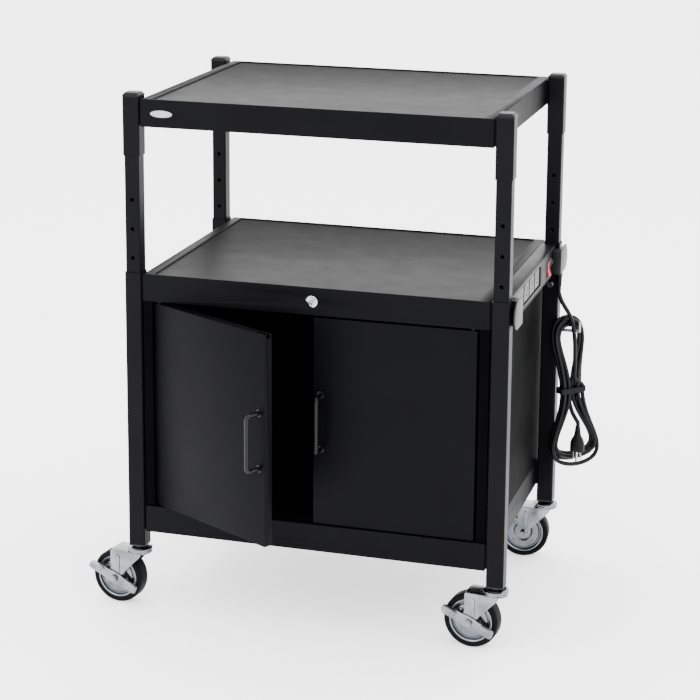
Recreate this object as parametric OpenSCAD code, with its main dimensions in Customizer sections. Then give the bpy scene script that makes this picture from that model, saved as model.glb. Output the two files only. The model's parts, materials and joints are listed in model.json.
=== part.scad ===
/* [Frame] */
// Width over the outer faces of the legs
cart_w = 673; // [560:1:760]
// Depth over the outer faces of the legs
cart_d = 463; // [400:1:560]
// Floor to the underside of the legs
leg_bottom = 115; // [112:1:130]
// Length of a lower leg
leg_len = 494; // [460:1:560]
// Side of the square leg tube
leg_w = 30; // [27:0.5:36]
// Wall of the square tubes
tube_wall = 1.5; // [1.2:0.1:2]
// Outer corner radius of the square tubes
tube_r = 3.2; // [2.5:0.1:4]
// Clearance round the inner post in its leg, each side
post_play = 0.3; // [0.2:0.05:0.5]
// Length of an inner post
post_len = 400; // [360:1:440]
// Pitch of the height holes
hole_pitch = 50.8; // [40:0.1:60]
// Diameter of a height hole
hole_d = 7; // [6:0.5:10]
// Leg top down to its clamp bolt
screw_drop = 76.2; // [70:0.1:80]
// Length of the sleeve under the top shelf
sleeve_len = 101; // [80:1:120]
// Gap between the leg top and the sleeve
sleeve_rise = 203.2; // [180:0.1:240]
// Height of a post cap above its sleeve
cap_h = 7; // [5:0.5:12]

/* [Shelves] */
// Height of the folded shelf edge
apron_h = 47.5; // [42:0.5:60]
// Thickness of the shelf sheet
sheet_t = 1.2; // [1:0.1:2]
// Width of the raised strip along each side of a shelf
strip_w = 19; // [14:0.5:26]
// Depth of the deck below its raised edge
deck_drop = 2.5; // [1.5:0.1:4]
// Width of the folded hem along the front and back edges
hem_w = 2.4; // [2:0.1:4]
// Corner radius of the folded side edges
fold_r = 3; // [2:0.1:4]
// Width of the flange turned in under the front and back edges
return_w = 20; // [18:0.5:26]
// Gap between a shelf and the legs, filled by the weld pads
weld_gap = 3; // [2:0.5:5]
// Leg bottom to the underside of the bottom shelf
bottom_rise = 27.5; // [20:0.5:40]
// Sleeve top down to the deck edge of the top shelf
top_drop = 2; // [1:0.5:8]

/* [Cabinet] */
// Front face of the legs back to the closed doors
door_set = 2.5; // [1:0.1:6]
// Depth of a door pan
door_t = 16.5; // [14:0.5:20]
// Width of the flange beside each door
stile_w = 16; // [12:0.5:20]
// Gap at the hinge edge of a door
hinge_gap = 4.5; // [3.5:0.1:6]
// Gap from the middle of the cabinet to each door
meeting_gap = 2.5; // [2:0.1:4]
// Gap above and below the doors
door_gap = 4.5; // [4:0.1:6]
// Height of the door foot above the raised edge of the bottom shelf
door_lift = 2.5; // [2:0.1:4]
// Hinge edge of a door to its pivot
pivot_in = 8; // [7:0.1:9]
// Diameter of a pivot pin
pivot_d = 6; // [5:0.5:8]
// Radial clearance of the running holes
run_fit = 0.05; // [0.03:0.01:0.08]
// How far the left door stands open
door_ajar = 29; // [0:1:60]
// Diameter of a pull rod
pull_d = 8; // [6:0.5:10]
// Length of a pull between its legs
pull_len = 96; // [80:1:128]
// Door face to the middle of the pull rod
pull_out = 28; // [24:1:36]
// Free edge of a door to its pull
pull_in = 13; // [10:0.5:24]
// Diameter of the lock face
lock_d = 20; // [16:0.5:24]
// Length of the lock cam from the key axis
cam_len = 32; // [31:0.5:33]

/* [Casters] */
// Diameter of a wheel over its tyre
wheel_d = 96; // [88:1:100]
// Width of the tyre
tyre_w = 30; // [26:0.5:34]
// Thickness of the rubber
tyre_t = 9.5; // [7:0.5:12]
// Swivel axis to the axle
trail = 40; // [34:0.5:46]
// Thickness of the fork plate
fork_t = 2.5; // [2:0.1:3]
// Diameter of the axle
axle_d = 8; // [6:0.5:10]
// Diameter of the swivel stem
stem_d = 11; // [9:0.5:12]
// Radius of the ball race
race_r = 21; // [18:0.5:24]
// Turn of the front left caster
turn_fl = -8; // [-30:1:30]
// Turn of the front right caster
turn_fr = -6; // [-30:1:30]
// Turn of the back left caster
turn_bl = -5; // [-30:1:30]
// Turn of the back right caster
turn_br = 4; // [-30:1:30]

/* [Power unit] */
// Height of the outlet housing
unit_h = 50; // [46:0.5:54]
// How far the housing stands out from the shelf edge
unit_out = 26.5; // [24:0.5:29]
// Top of the housing above the deck edge of the middle shelf
unit_rise = 0.5; // [0:0.5:4]
// Wall of the housing
unit_wall = 2.5; // [2:0.1:3]
// Depth of the recess for the outlets
recess_d = 3; // [2:0.1:4]
// Length of the outlet recess
recess_len = 182; // [170:1:200]
// Number of outlets
outlets = 4; // [2:1:4]
// How far a wrap ear stands out from the leg
ear_out = 9.5; // [9:0.5:14]
// Thickness of a wrap ear
ear_t = 2.5; // [2:0.1:3]
// Length of a wrap ear
ear_len = 64; // [56:1:70]
// Diameter of the hook rod
hook_d = 6; // [5:0.5:8]

/* [Cord] */
// Diameter of the power cord
cord_d = 8; // [7:0.5:8]
// Loops in the hank
hank_loops = 4; // [2:2:4]
// Height of the hank over its outer loop
hank_h = 283; // [270:1:300]
// Half width of the hank at its waist
hank_waist = 22; // [21.5:0.5:24]
// Fullness of the upper loops
hank_top = 52; // [46:1:60]
// Fullness of the lower loops
hank_foot = 99; // [80:1:110]
// Sideways lean of the hank from its top to its foot
hank_lean = 25; // [15:1:30]

/* [Hidden] */

// Overrun of every cut
over = tube_wall / 3;
// Gap between pieces that move past each other
free_gap = 0.3;
// Facets of a round form
fine = 48;
coarse = 24;
fold_n = 16;

// Clamp bolts: play in the leg, collar and head
bolt_play = 0.5;
bolt_collar_t = 1;
bolt_head_t = 4;
// Overhang of a post cap and sink of the middle shelf below the leg tops
cap_over = 0.6;
middle_sink = 0.5;

// Lock: place and size of the cam, bezel, nut, plug and key slot
cam_set = 10.5;
cam_t = 2;
cam_w = 8;
notch_side = 2.5;
bezel_out = 2.2;
lock_nut_t = 3;
plug_proud = 0.4;
key_w = 1.4;
key_deep = 3;
// Doors: turned lip, foot of a pull, reach of the pins and flange of the bottom bushings
pan_lip = 12;
pull_rose_t = 1.2;
pin_reach = 4;
bush_t = 1.5;
bush_lip = 2;
back_play = 1;

// Casters: heights below the leg, stem, race and insert
fork_drop = 15;
race_h = 4;
race_rim = 1;
cup_h = 5;
stem_foot_t = 2.5;
stem_reach = 28;
insert_t = 2.5;
insert_len = 34;
// Casters: fork boss, skirt, edge and rib
boss_rim = 5.5;
fork_skirt = 9;
fork_edge = 1.5;
rib_r = 4;
rib_proud = 1.6;
rib_at = 5.5;
rib_foot = 12;
rib_drop = 9;
// Casters: width of the hub over the tyre, play in the fork, nuts and rivets
hub_proud = 3.4;
fork_play = 2;
nut_t = 5;
axle_tip = 6;
rivet_r = 2.4;
rivet_proud = 1;
// Brake lever: strip and pads
brake_t = 2;
brake_wide = 18;
brake_back = 52;
brake_fore = 46;
brake_slope = 22;
pad_len = 26;
pad_out = 15;
pad_r = 6;
pad_tilt = 32;

// Power unit: recess, outlets and lower lip
recess_lift = 7;
recess_cut = 15;
switch_room = 49.5;
lip_h = 1.5;
outlet_back = 14;
blade_half = 6.35;
slot_w = 2.2;
slot_h = 8;
earth_drop = 6;
earth_r = 2.6;
// Power unit: switch and reset button
frame_t = 1.2;
switch_pitch = 22;
switch_w = 19;
switch_h = 27;
switch_rise = 19;
switch_deep = 12;
rocker_in = 4;
rocker_pin = 1.5;
rocker_proud = 3;
rocker_wave = 0.8;
rocker_end = 1.5;
rocker_tilt = 8;
reset_in = 15.5;
reset_r = 4;
reset_rise = 28;
reset_deep = 8;
reset_len = 11;
// Wrap ears and the cord's strain relief
ear_past = 2.5;
ear_rim = 1;
ear_root_t = 24;
ear_root_drop = 6;
gland_out = 3.5;
gland_set = 20.5;
gland_len = 26;
gland_rim = 1.8;
gland_wall = 1.6;
gland_lip = 0.4;
// Hook of the hank
hook_in = 8.5;
hook_drop = 112.5;
hook_reach = 40;
hook_tip = 14;
hook_rose_t = 2;
hook_gap = 3.4;
// Hank, plug and tie
hank_out = 18;
hank_in = 10.5;
strand_gap = 0.6;
slack = 12;
neck_len = 14;
neck_rim = 0.6;
neck_foot = 2.4;
neck_end = 1;
flare_len = 16;
grip_len = 18;
plug_w = 27;
plug_t = 17;
blade_t = 1.5;
blade_w = 6.3;
blade_low = 1.5;
blade_len = 16;
earth_set = 5.5;
earth_pin_r = 2.4;
earth_len = 18;
tie_play = 0.5;
tie_t = 1.8;
tie_h = 10;

// Places of the legs and heights of the frame
leg_x = cart_w / 2 - leg_w / 2;
leg_y = cart_d / 2 - leg_w / 2;
leg_top = leg_bottom + leg_len;
tube_in = leg_w - 2 * tube_wall;
post_w = tube_in - 2 * post_play;
screw_z = leg_top - screw_drop;
bolt_r = hole_d / 2 - bolt_play;
sleeve_z = leg_top + sleeve_rise;
sleeve_top = sleeve_z + sleeve_len;
post_top = sleeve_top - 2 * tube_wall;
post_z = post_top - post_len;
inner_x = cart_w / 2 - leg_w;
shelf_w = 2 * (inner_x - weld_gap);
top_z = sleeve_top - top_drop - apron_h;
middle_z = leg_top - apron_h - middle_sink;
bottom_z = leg_bottom + bottom_rise;
middle_top = middle_z + apron_h;
bottom_top = bottom_z + apron_h;
front_y = -cart_d / 2;

// Cabinet
panel_h = middle_z - bottom_top;
panel_y = cart_d / 2 - door_set;
door_front = front_y + door_set;
door_z = bottom_top + door_lift;
door_h = middle_z - door_gap - door_z;
door_edge = shelf_w / 2 - stile_w - hinge_gap;
door_w = door_edge - meeting_gap;
pivot_x = door_edge - pivot_in;
pivot_y = door_front + pivot_in;
pull_z = door_z + door_h / 2;
lock_z = middle_z + apron_h / 2;
cam_y = front_y + cam_set;
// How far to the right the cam crosses the lower edge of the shelf as it turns
cam_sweep = sqrt(pow(cam_len, 2) - pow(apron_h / 2, 2)) + cam_w / 2 + notch_side;

// Casters
wheel_r = wheel_d / 2;
rim_r = wheel_r - tyre_t;
hub_w = tyre_w + hub_proud;
fork_in = hub_w + fork_play;
fork_out = fork_in + 2 * fork_t;
fork_top = leg_bottom - fork_drop;
boss_r = axle_d / 2 + boss_rim;
fork_back = trail + boss_r;
brake_y = -(fork_out / 2 + free_gap);

// Power unit
unit_x = shelf_w / 2;
unit_face = unit_x + unit_out;
unit_top = middle_top + unit_rise;
unit_z = unit_top - unit_h;
unit_end = leg_y - leg_w / 2;
ear_x = cart_w / 2 + ear_out;
ear_r = unit_h / 2 - ear_rim;
ear_z = unit_z + ear_rim;
ear_root = cart_d / 2 + ear_past - ear_len;
recess_at_share = 0.447;
recess_y = recess_at_share * (2 * ear_root - recess_len - switch_room) - ear_root;
recess_z = unit_z + recess_lift;
recess_h = unit_h - recess_cut;
outlet_pitch = recess_len / outlets;
outlet_r = recess_h * 0.36;
reset_y = ear_root - reset_in;
reset_z = unit_z + reset_rise;
switch_y = reset_y - switch_pitch;
switch_z = unit_z + switch_rise;
gland_x = cart_w / 2 + gland_out;
gland_y = ear_root + gland_set;
hook_y = leg_y - hook_in;
hook_z = unit_z - hook_drop;

// Hank: its plane, its middle and the spacing of its loops
cord_r = cord_d / 2;
hank_turn = 44.5;
hank_u = [cos(hank_turn), sin(hank_turn), 0];
hank_n = [-sin(hank_turn), cos(hank_turn), 0];
loop_step = cord_d + strand_gap;
loop_wider_share = 1.18;
layer_gap = cord_d + strand_gap;
hank_rings = 24 * hank_loops;
hank_sides = 6;
turns_in = hank_loops / 2;
hank_z = hook_z + hook_d / 2 + hook_gap + cord_r + turns_in * loop_step - hank_h / 2;
hank_at = [cart_w / 2 + hank_out, leg_y - hank_in, hank_z];

// Route of the cord from the gland to the hank, in millimetres
CORD_ROUTE = [
  [340, 188, 525], [344, 188, 511], [351, 190, 497], [359, 193, 483],
  [365, 197, 466], [368, 201, 447], [370, 204, 424], [370, 208, 400], [370, 211, 376], [370, 213, 355]
];
// Route of the cord from the hank to the plug, in millimetres
LEAD_ROUTE = [[362, 217, 312], [364, 212, 300], [369, 208, 289], [375, 205, 280]];
plug_at = [380, 205, 264];

function unit(v) = v / norm(v);

// Place in the hank after t loops, from the inner loop of the front layer to that of the back layer
function nest(t) = abs(turns_in - t);
function layer(t) = let (r = max(-1, min(1, (t - turns_in) * 4))) (r * (3 - r * r)) / 2;
function hank_point(t) =
  let (
    a = 90 + 360 * t,
    s = nest(t) * loop_step,
    inner = (turns_in * loop_step - s),
    full = cos(a) > 0 ? hank_top : hank_foot,
    sag = cos(a) < 0 ? slack * pow(max(0, 1 - inner / loop_step), 2) : 0,
    u = sin(a) * (hank_waist - inner * loop_wider_share + full * pow(cos(a), 2)) + hank_lean * (1 - cos(a)) / 2,
    z = (hank_h / 2 - inner + sag) * cos(a)
  )
  hank_at + u * hank_u + layer(t) * layer_gap / 2 * hank_n + [0, 0, z];

// Points of the ring numbered i on the path p
function tangent(p, i) =
  i == 0 ? unit(p[1] - p[0])
  : i == len(p) - 1 ? unit(p[i] - p[i - 1])
  : unit(unit(p[i + 1] - p[i]) + unit(p[i] - p[i - 1]));
function ring(p, i, r, sides, ref) =
  let (t = tangent(p, i), b = unit(cross(t, ref)), a = cross(b, t))
  [for (k = [0:sides - 1]) p[i] + r * (cos(360 * k / sides) * a + sin(360 * k / sides) * b)];
function wall_faces(n, sides) = [
  for (i = [0:n - 2], k = [0:sides - 1], half = [0, 1])
    let (k2 = (k + 1) % sides, a = i * sides + k, b = i * sides + k2, c = a + sides, d = b + sides)
    half == 0 ? [a, b, c] : [b, d, c]
];
function cap_faces(n, sides) = concat(
  [for (k = [1:sides - 2]) [0, k + 1, k]],
  [for (k = [1:sides - 2]) (n - 1) * sides * [1, 1, 1] + [0, k, k + 1]]
);

// A tube of radius r swept along the path p
module sweep(p, r, sides, ref) {
  rings = [for (i = [0:len(p) - 1]) each ring(p, i, r, sides, ref)];
  polyhedron(points = rings, faces = concat(wall_faces(len(p), sides), cap_faces(len(p), sides)));
}

hank_path = [for (i = [0:hank_rings]) hank_point(i / 24)];
hank_start = hank_point(0);
hank_end = hank_point(hank_loops);
start_dir = unit(hank_path[1] - hank_path[0]);
end_dir = unit(hank_path[hank_rings] - hank_path[hank_rings - 1]);
gland_foot = [gland_x, gland_y, ear_z - gland_len];
cord_path = concat([gland_foot, gland_foot - [0, 0, cord_d]], CORD_ROUTE, [hank_start - cord_d * start_dir, hank_start]);
lead_path = concat([hank_end, hank_end + cord_d * end_dir], LEAD_ROUTE, [plug_at + [0, 0, cord_d], plug_at]);

function path_len(p) = [for (i = 0, l = 0; i < len(p); i = i + 1, l = i < len(p) ? l + norm(p[i] - p[i - 1]) : l) l];
least_gap = min([
  for (i = [0:hank_rings], j = [i + 5:1:hank_rings])
    norm(hank_path[i] - hank_path[j])
]) - cord_d;
echo(least_gap = least_gap, hank = path_len(hank_path)[hank_rings], lead_in = path_len(cord_path)[len(cord_path) - 1]);
echo(lead_out = path_len(lead_path)[len(lead_path) - 1], hank_start = hank_start, hank_end = hank_end);

// A square with round corners, centred
module round_square(w, r) {
  square([w - 2 * r, w], center = true);
  square([w, w - 2 * r], center = true);
  for (x = [-1, 1], y = [-1, 1]) translate([x * (w / 2 - r), y * (w / 2 - r)]) circle(r = r, $fn = fold_n);
}

// A square tube standing on its end
module square_tube(w, h, r) {
  difference() {
    linear_extrude(h) round_square(w, r);
    translate([0, 0, -over]) linear_extrude(h + 2 * over) round_square(w - 2 * tube_wall, r - tube_wall / 2);
  }
}

module steel() {
  color([0.12, 0.12, 0.13]) children();
}

module zinc() {
  color([0.75, 0.77, 0.79]) children();
}

// A lower leg at one corner, with the hole for its clamp bolt in the face towards the middle of the cart
module leg(sx, sy) {
  steel() translate([sx * leg_x, sy * leg_y, 0]) difference() {
    translate([0, 0, leg_bottom]) square_tube(leg_w, leg_len, tube_r);
    translate([0, -sy * leg_w / 2, screw_z]) rotate([90, 0, 0])
      cylinder(h = leg_w / 2, r = bolt_r, center = true, $fn = coarse);
  }
}

// An inner post with its row of height holes through from front to back
module post(sx, sy) {
  steel() translate([sx * leg_x, sy * leg_y, 0]) difference() {
    translate([0, 0, post_z]) square_tube(post_w, post_len, tube_r - tube_wall / 2);
    for (k = [0:4]) translate([0, 0, screw_z + k * hole_pitch]) rotate([90, 0, 0])
      cylinder(h = post_w + 2 * over, r = hole_d / 2, center = true, $fn = coarse);
  }
}

// Bolts in the faces of the legs towards the middle of the cart, their points just clear of the posts
module clamp_bolts() {
  zinc() for (sx = [-1, 1], sy = [-1, 1]) translate([sx * leg_x, sy * unit_end, screw_z]) rotate([90 * sy, 0, 0]) {
    translate([0, 0, -tube_wall]) cylinder(h = tube_wall, r = bolt_r, $fn = coarse);
    cylinder(h = bolt_collar_t, r = bolt_r * 2.1, $fn = coarse);
    translate([0, 0, bolt_collar_t]) cylinder(h = bolt_head_t, r = bolt_r * 1.8, $fn = 6);
  }
}

module top_sleeves() {
  steel() for (sx = [-1, 1], sy = [-1, 1]) translate([sx * leg_x, sy * leg_y, sleeve_z])
    square_tube(leg_w, sleeve_len, tube_r);
}

// Moulded caps with a bevelled crown and a spigot in the sleeve
module post_caps() {
  skirt = cap_h * 0.4;
  color([0.1, 0.1, 0.11]) for (sx = [-1, 1], sy = [-1, 1]) translate([sx * leg_x, sy * leg_y, sleeve_top]) {
    linear_extrude(skirt) round_square(leg_w + cap_over, tube_r);
    translate([0, 0, skirt]) linear_extrude(cap_h - skirt, scale = 0.74) round_square(leg_w + cap_over, tube_r);
    translate([0, 0, post_top - sleeve_top]) linear_extrude(sleeve_top - post_top)
      round_square(tube_in, tube_r - tube_wall / 2);
  }
}

// Cross-section of a shelf across its width: folded sides, raised strips and the dropped deck
module shelf_section(w) {
  difference() {
    folded(w, apron_h, fold_r);
    translate([strip_w - w / 2, apron_h - deck_drop]) square([w - 2 * strip_w, deck_drop + over]);
    difference() {
      translate([0, -over]) folded(w - 2 * sheet_t, apron_h - sheet_t + over, fold_r - sheet_t);
      translate([strip_w - sheet_t - w / 2, apron_h - deck_drop - sheet_t])
        square([w - 2 * (strip_w - sheet_t), deck_drop + sheet_t + over]);
    }
  }
}

module folded(w, h, r) {
  translate([-w / 2, 0]) square([w, h - r]);
  translate([r - w / 2, 0]) square([w - 2 * r, h]);
  for (s = [-1, 1]) translate([s * (w / 2 - r), h - r]) circle(r = r, $fn = fold_n);
}

// A folded sheet shelf with its underside at z
module shelf(z) {
  half_d = cart_d / 2;
  translate([0, 0, z]) {
    translate([0, half_d, 0]) rotate([90, 0, 0]) linear_extrude(cart_d) shelf_section(shelf_w);
    for (s = [-1, 1]) {
      translate([-shelf_w / 2 + fold_r, s > 0 ? half_d - hem_w : -half_d, 0]) cube([shelf_w - 2 * fold_r, hem_w, apron_h]);
      translate([-shelf_w / 2 + sheet_t, s > 0 ? half_d - return_w : -half_d, 0])
        cube([shelf_w - 2 * sheet_t, return_w, sheet_t]);
    }
    for (sx = [-1, 1], sy = [-1, 1]) weld_pad(sx, sy);
  }
}

// The welded pad between a shelf edge and a leg
module weld_pad(sx, sy) {
  pad = leg_w * 0.6;
  translate([sx > 0 ? shelf_w / 2 : -inner_x, sy * leg_y - pad / 2, apron_h * 0.03]) cube([weld_gap, pad, apron_h * 0.9]);
}

module top_shelf() {
  steel() shelf(top_z);
}

module middle_shelf() {
  steel() difference() {
    shelf(middle_z);
    translate([0, front_y - over, lock_z]) rotate([-90, 0, 0])
      cylinder(h = hem_w + 2 * over, r = lock_d * 0.4, $fn = fine);
    translate([-cam_w, cam_y - notch_side, middle_z - over])
      cube([cam_w + cam_sweep, cam_t + 2 * notch_side, sheet_t + 2 * over]);
  }
}

// The bottom shelf, with a hole in its deck for each pivot bushing
module bottom_shelf() {
  steel() difference() {
    shelf(bottom_z);
    for (s = [-1, 1]) translate([s * pivot_x, pivot_y, bottom_top - deck_drop - sheet_t - over])
      cylinder(h = sheet_t + 2 * over, r = pivot_d, $fn = fine);
  }
}

// A cabinet side: a sheet with flanges turned in at the front and back, the front one with a lip
module side_panel(s) {
  x = shelf_w / 2;
  steel() {
    translate([s > 0 ? x - sheet_t : -x, -panel_y, bottom_top]) cube([sheet_t, 2 * panel_y, panel_h]);
    for (y = [-panel_y, panel_y - sheet_t])
      translate([s > 0 ? x - stile_w : -x, y, bottom_top]) cube([stile_w, sheet_t, panel_h]);
    translate([s > 0 ? x - stile_w : -x + stile_w - sheet_t, -panel_y, bottom_top])
      cube([sheet_t, 9 * sheet_t, panel_h]);
  }
}

module back_panel() {
  w = shelf_w - 2 * sheet_t - back_play;
  steel() translate([-w / 2, panel_y - 2 * sheet_t, bottom_top]) cube([w, sheet_t, panel_h]);
}

// A closed right-hand door: a pan with turned edges, pivot holes and the notch that the lock cam enters
module door_pan() {
  difference() {
    translate([meeting_gap, door_front, door_z]) cube([door_w, door_t, door_h]);
    translate([meeting_gap + sheet_t, door_front + sheet_t, door_z + sheet_t])
      cube([door_w - 2 * sheet_t, door_t - 2 * sheet_t, door_h - 2 * sheet_t]);
    translate([meeting_gap + pan_lip, door_front + sheet_t, door_z + pan_lip])
      cube([door_w - 2 * pan_lip, door_t, door_h - 2 * pan_lip]);
    for (z = [door_z, door_z + door_h - sheet_t]) translate([pivot_x, pivot_y, z - over])
      cylinder(h = sheet_t + 2 * over, r = pivot_d / 2 + run_fit, $fn = fine);
    translate([meeting_gap - over, cam_y - notch_side, lock_z - cam_len - notch_side])
      cube([cam_sweep, cam_t + 2 * notch_side, cam_len]);
  }
}

// A bent rod pull on the face of the right-hand door
module door_pull() {
  x = meeting_gap + pull_in;
  bend = pull_d;
  foot = pull_out - bend;
  for (s = [-1, 1]) translate([x, door_front, pull_z + s * pull_len / 2]) {
    rotate([90, 0, 0]) cylinder(h = foot, r = pull_d / 2, $fn = coarse);
    rotate([90, 0, 0]) cylinder(h = pull_rose_t, r = pull_d * 0.8, $fn = coarse);
    translate([0, -foot, -s * bend]) rotate([0, -90, 0]) rotate([0, 0, s > 0 ? -90 : 180])
      rotate_extrude(angle = 90, $fn = fine) translate([bend, 0]) circle(r = pull_d / 2, $fn = coarse);
  }
  translate([x, door_front - pull_out, pull_z - pull_len / 2 + bend])
    cylinder(h = pull_len - 2 * bend, r = pull_d / 2, $fn = coarse);
}

// Turns what belongs to the left door to where it stands ajar
module swing_left() {
  translate([-pivot_x, pivot_y, 0]) rotate([0, 0, -door_ajar]) translate([pivot_x, -pivot_y, 0]) mirror([1, 0, 0])
    children();
}

module door_left() {
  steel() swing_left() door_pan();
}

module door_right() {
  steel() door_pan();
}

module pull_left() {
  steel() swing_left() door_pull();
}

module pull_right() {
  steel() door_pull();
}

// Pins that carry the doors, each through a bushing: the lower ones stand in holes of the bottom shelf
module pivot_pins() {
  deck = bottom_top - deck_drop;
  under = deck - sheet_t - bush_t;
  color([0.12, 0.12, 0.12]) for (s = [-1, 1]) translate([s * pivot_x, pivot_y, 0]) {
    translate([0, 0, under]) cylinder(h = door_z + pin_reach - under, r = pivot_d / 2, $fn = fine);
    translate([0, 0, under]) cylinder(h = door_z - free_gap - under, r = pivot_d, $fn = fine);
    translate([0, 0, under]) cylinder(h = bush_t, r = pivot_d + bush_lip, $fn = coarse);
    translate([0, 0, door_z + door_h - pin_reach]) cylinder(h = door_gap + pin_reach, r = pivot_d / 2, $fn = fine);
    translate([0, 0, door_z + door_h + free_gap]) cylinder(h = door_gap - free_gap, r = pivot_d, $fn = coarse);
  }
}

// The fixed barrel of the lock, with its bezel in front and its nut behind the shelf edge
module lock_barrel() {
  zinc() translate([0, front_y, lock_z]) rotate([-90, 0, 0]) difference() {
    union() {
      translate([0, 0, -bezel_out]) cylinder(h = bezel_out, r = lock_d / 2, $fn = fine);
      cylinder(h = cam_y - cam_t - front_y, r = lock_d * 0.4, $fn = fine);
      translate([0, 0, hem_w]) cylinder(h = lock_nut_t, r = lock_d * 0.6, $fn = 6);
    }
    translate([0, 0, -bezel_out - over]) cylinder(h = cam_y - front_y + bezel_out, r = lock_d * 0.28 + run_fit, $fn = fine);
  }
}

// The turning plug with its key slot
module lock_plug() {
  r = lock_d * 0.28;
  proud = bezel_out + plug_proud;
  zinc() translate([0, front_y, lock_z]) rotate([-90, 0, 0]) difference() {
    translate([0, 0, -proud]) cylinder(h = cam_y - front_y + proud, r = r, $fn = fine);
    translate([-r * 0.55, -key_w / 2, -proud - over]) cube([r * 1.1, key_w, key_deep + over]);
  }
}

// The cam on the plug, lying sideways when unlocked
module lock_cam() {
  zinc() translate([0, cam_y, lock_z]) rotate([-90, 0, 0]) {
    cylinder(h = cam_t, r = cam_w * 0.75, $fn = coarse);
    translate([0, -cam_w / 2, 0]) cube([cam_len - cam_w / 2, cam_w, cam_t]);
    translate([cam_len - cam_w / 2, 0, 0]) cylinder(h = cam_t, r = cam_w / 2, $fn = coarse);
  }
}

// The outlet housing along the edge of the middle shelf, a shell open towards the shelf
module unit_housing() {
  inside = unit_face - unit_wall - unit_x;
  steel() difference() {
    union() {
      difference() {
        translate([unit_x, -unit_end, unit_z]) cube([unit_out, 2 * unit_end, unit_h]);
        translate([unit_x - over, unit_wall - unit_end, unit_z + unit_wall])
          cube([inside + over, 2 * (unit_end - unit_wall), unit_h - 2 * unit_wall]);
      }
      translate([unit_face - recess_d - unit_wall, recess_y - unit_wall, recess_z - unit_wall])
        cube([recess_d + unit_wall, recess_len + 2 * unit_wall, recess_h + 2 * unit_wall]);
    }
    translate([unit_face - recess_d, recess_y, recess_z]) cube([recess_d + over, recess_len, recess_h]);
    for (k = [0:outlets - 1]) at_outlet(k) rotate([0, 90, 0])
      cylinder(h = 3 * recess_d + 2 * unit_wall, r = outlet_r, center = true, $fn = coarse);
    translate([unit_face, switch_y, switch_z])
      cube([3 * unit_wall, switch_w + 2 * frame_t, switch_h + 2 * frame_t], center = true);
    translate([unit_face, reset_y, reset_z]) rotate([0, 90, 0])
      cylinder(h = 3 * unit_wall, r = reset_r + frame_t, center = true, $fn = coarse);
  }
  steel() translate([unit_face, -ear_root, unit_z]) cube([frame_t, 2 * ear_root, lip_h]);
}

// Puts an outlet on the floor of the recess
module at_outlet(k) {
  translate([unit_face - recess_d, recess_y + (k + 0.5) * outlet_pitch, recess_z + recess_h / 2]) children();
}

// Outlet bodies and faces with two blade slots and an earth hole each
module outlet_strip() {
  face_w = outlet_pitch * 0.84;
  face_h = recess_h * 0.84;
  color([0.08, 0.08, 0.09]) for (k = [0:outlets - 1]) at_outlet(k) difference() {
    union() {
      translate([-outlet_back, 0, 0]) rotate([0, 90, 0]) cylinder(h = outlet_back, r = outlet_r, $fn = coarse);
      translate([0, -face_w / 2, -face_h / 2]) cube([frame_t, face_w, face_h]);
    }
    for (s = [-1, 1]) translate([-outlet_back * 0.8, s * blade_half - slot_w / 2, 0]) cube([outlet_back, slot_w, slot_h]);
    translate([-outlet_back * 0.8, 0, -earth_drop]) rotate([0, 90, 0]) cylinder(h = outlet_back, r = earth_r, $fn = coarse);
  }
}

// The frame of the switch, a sleeve through the housing with a bezel and two bearings for the rocker
module switch_frame() {
  w = switch_w + 2 * frame_t;
  h = switch_h + 2 * frame_t;
  color([0.07, 0.07, 0.07]) translate([unit_face, switch_y, switch_z]) difference() {
    union() {
      translate([-switch_deep, -w / 2, -h / 2]) cube([switch_deep, w, h]);
      translate([0, -w / 2 - frame_t, -h / 2 - frame_t]) cube([frame_t, w + 2 * frame_t, h + 2 * frame_t]);
    }
    translate([frame_t - switch_deep, -switch_w / 2, -switch_h / 2]) cube([switch_deep + frame_t, switch_w, switch_h]);
    translate([-rocker_in, 0, 0]) rotate([90, 0, 0]) cylinder(h = 2 * w, r = rocker_pin + run_fit, center = true, $fn = coarse);
  }
}

// The rocker on its two pins, its upper half pressed in
module rocker_switch() {
  w = switch_w - 2 * free_gap;
  top = switch_h / 2 - rocker_end;
  proud = rocker_in + rocker_proud;
  dip = rocker_in + rocker_wave;
  color([0.75, 0.05, 0.05]) translate([unit_face - rocker_in, switch_y, switch_z]) rotate([90, 0, 0]) {
    rotate([0, 0, rocker_tilt]) linear_extrude(w, center = true)
      polygon([[-rocker_in, -top * 0.8], [proud, -top], [dip, 0], [proud, top], [-rocker_in, top * 0.8]]);
    cylinder(h = switch_w + 2 * frame_t, r = rocker_pin, center = true, $fn = coarse);
  }
}

// The sleeve and bezel that guide the reset button
module reset_bezel() {
  color([0.75, 0.75, 0.74]) translate([unit_face, reset_y, reset_z]) rotate([0, 90, 0]) difference() {
    union() {
      translate([0, 0, -reset_deep]) cylinder(h = reset_deep, r = reset_r + frame_t, $fn = coarse);
      cylinder(h = frame_t, r = reset_r + 2 * frame_t, $fn = coarse);
    }
    translate([0, 0, -reset_deep - over]) cylinder(h = reset_deep + 2 * frame_t, r = reset_r + run_fit, $fn = coarse);
  }
}

module reset_button() {
  color([0.15, 0.15, 0.15]) translate([unit_face - reset_deep, reset_y, reset_z]) rotate([0, 90, 0])
    cylinder(h = reset_len, r = reset_r, $fn = coarse);
}

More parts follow.
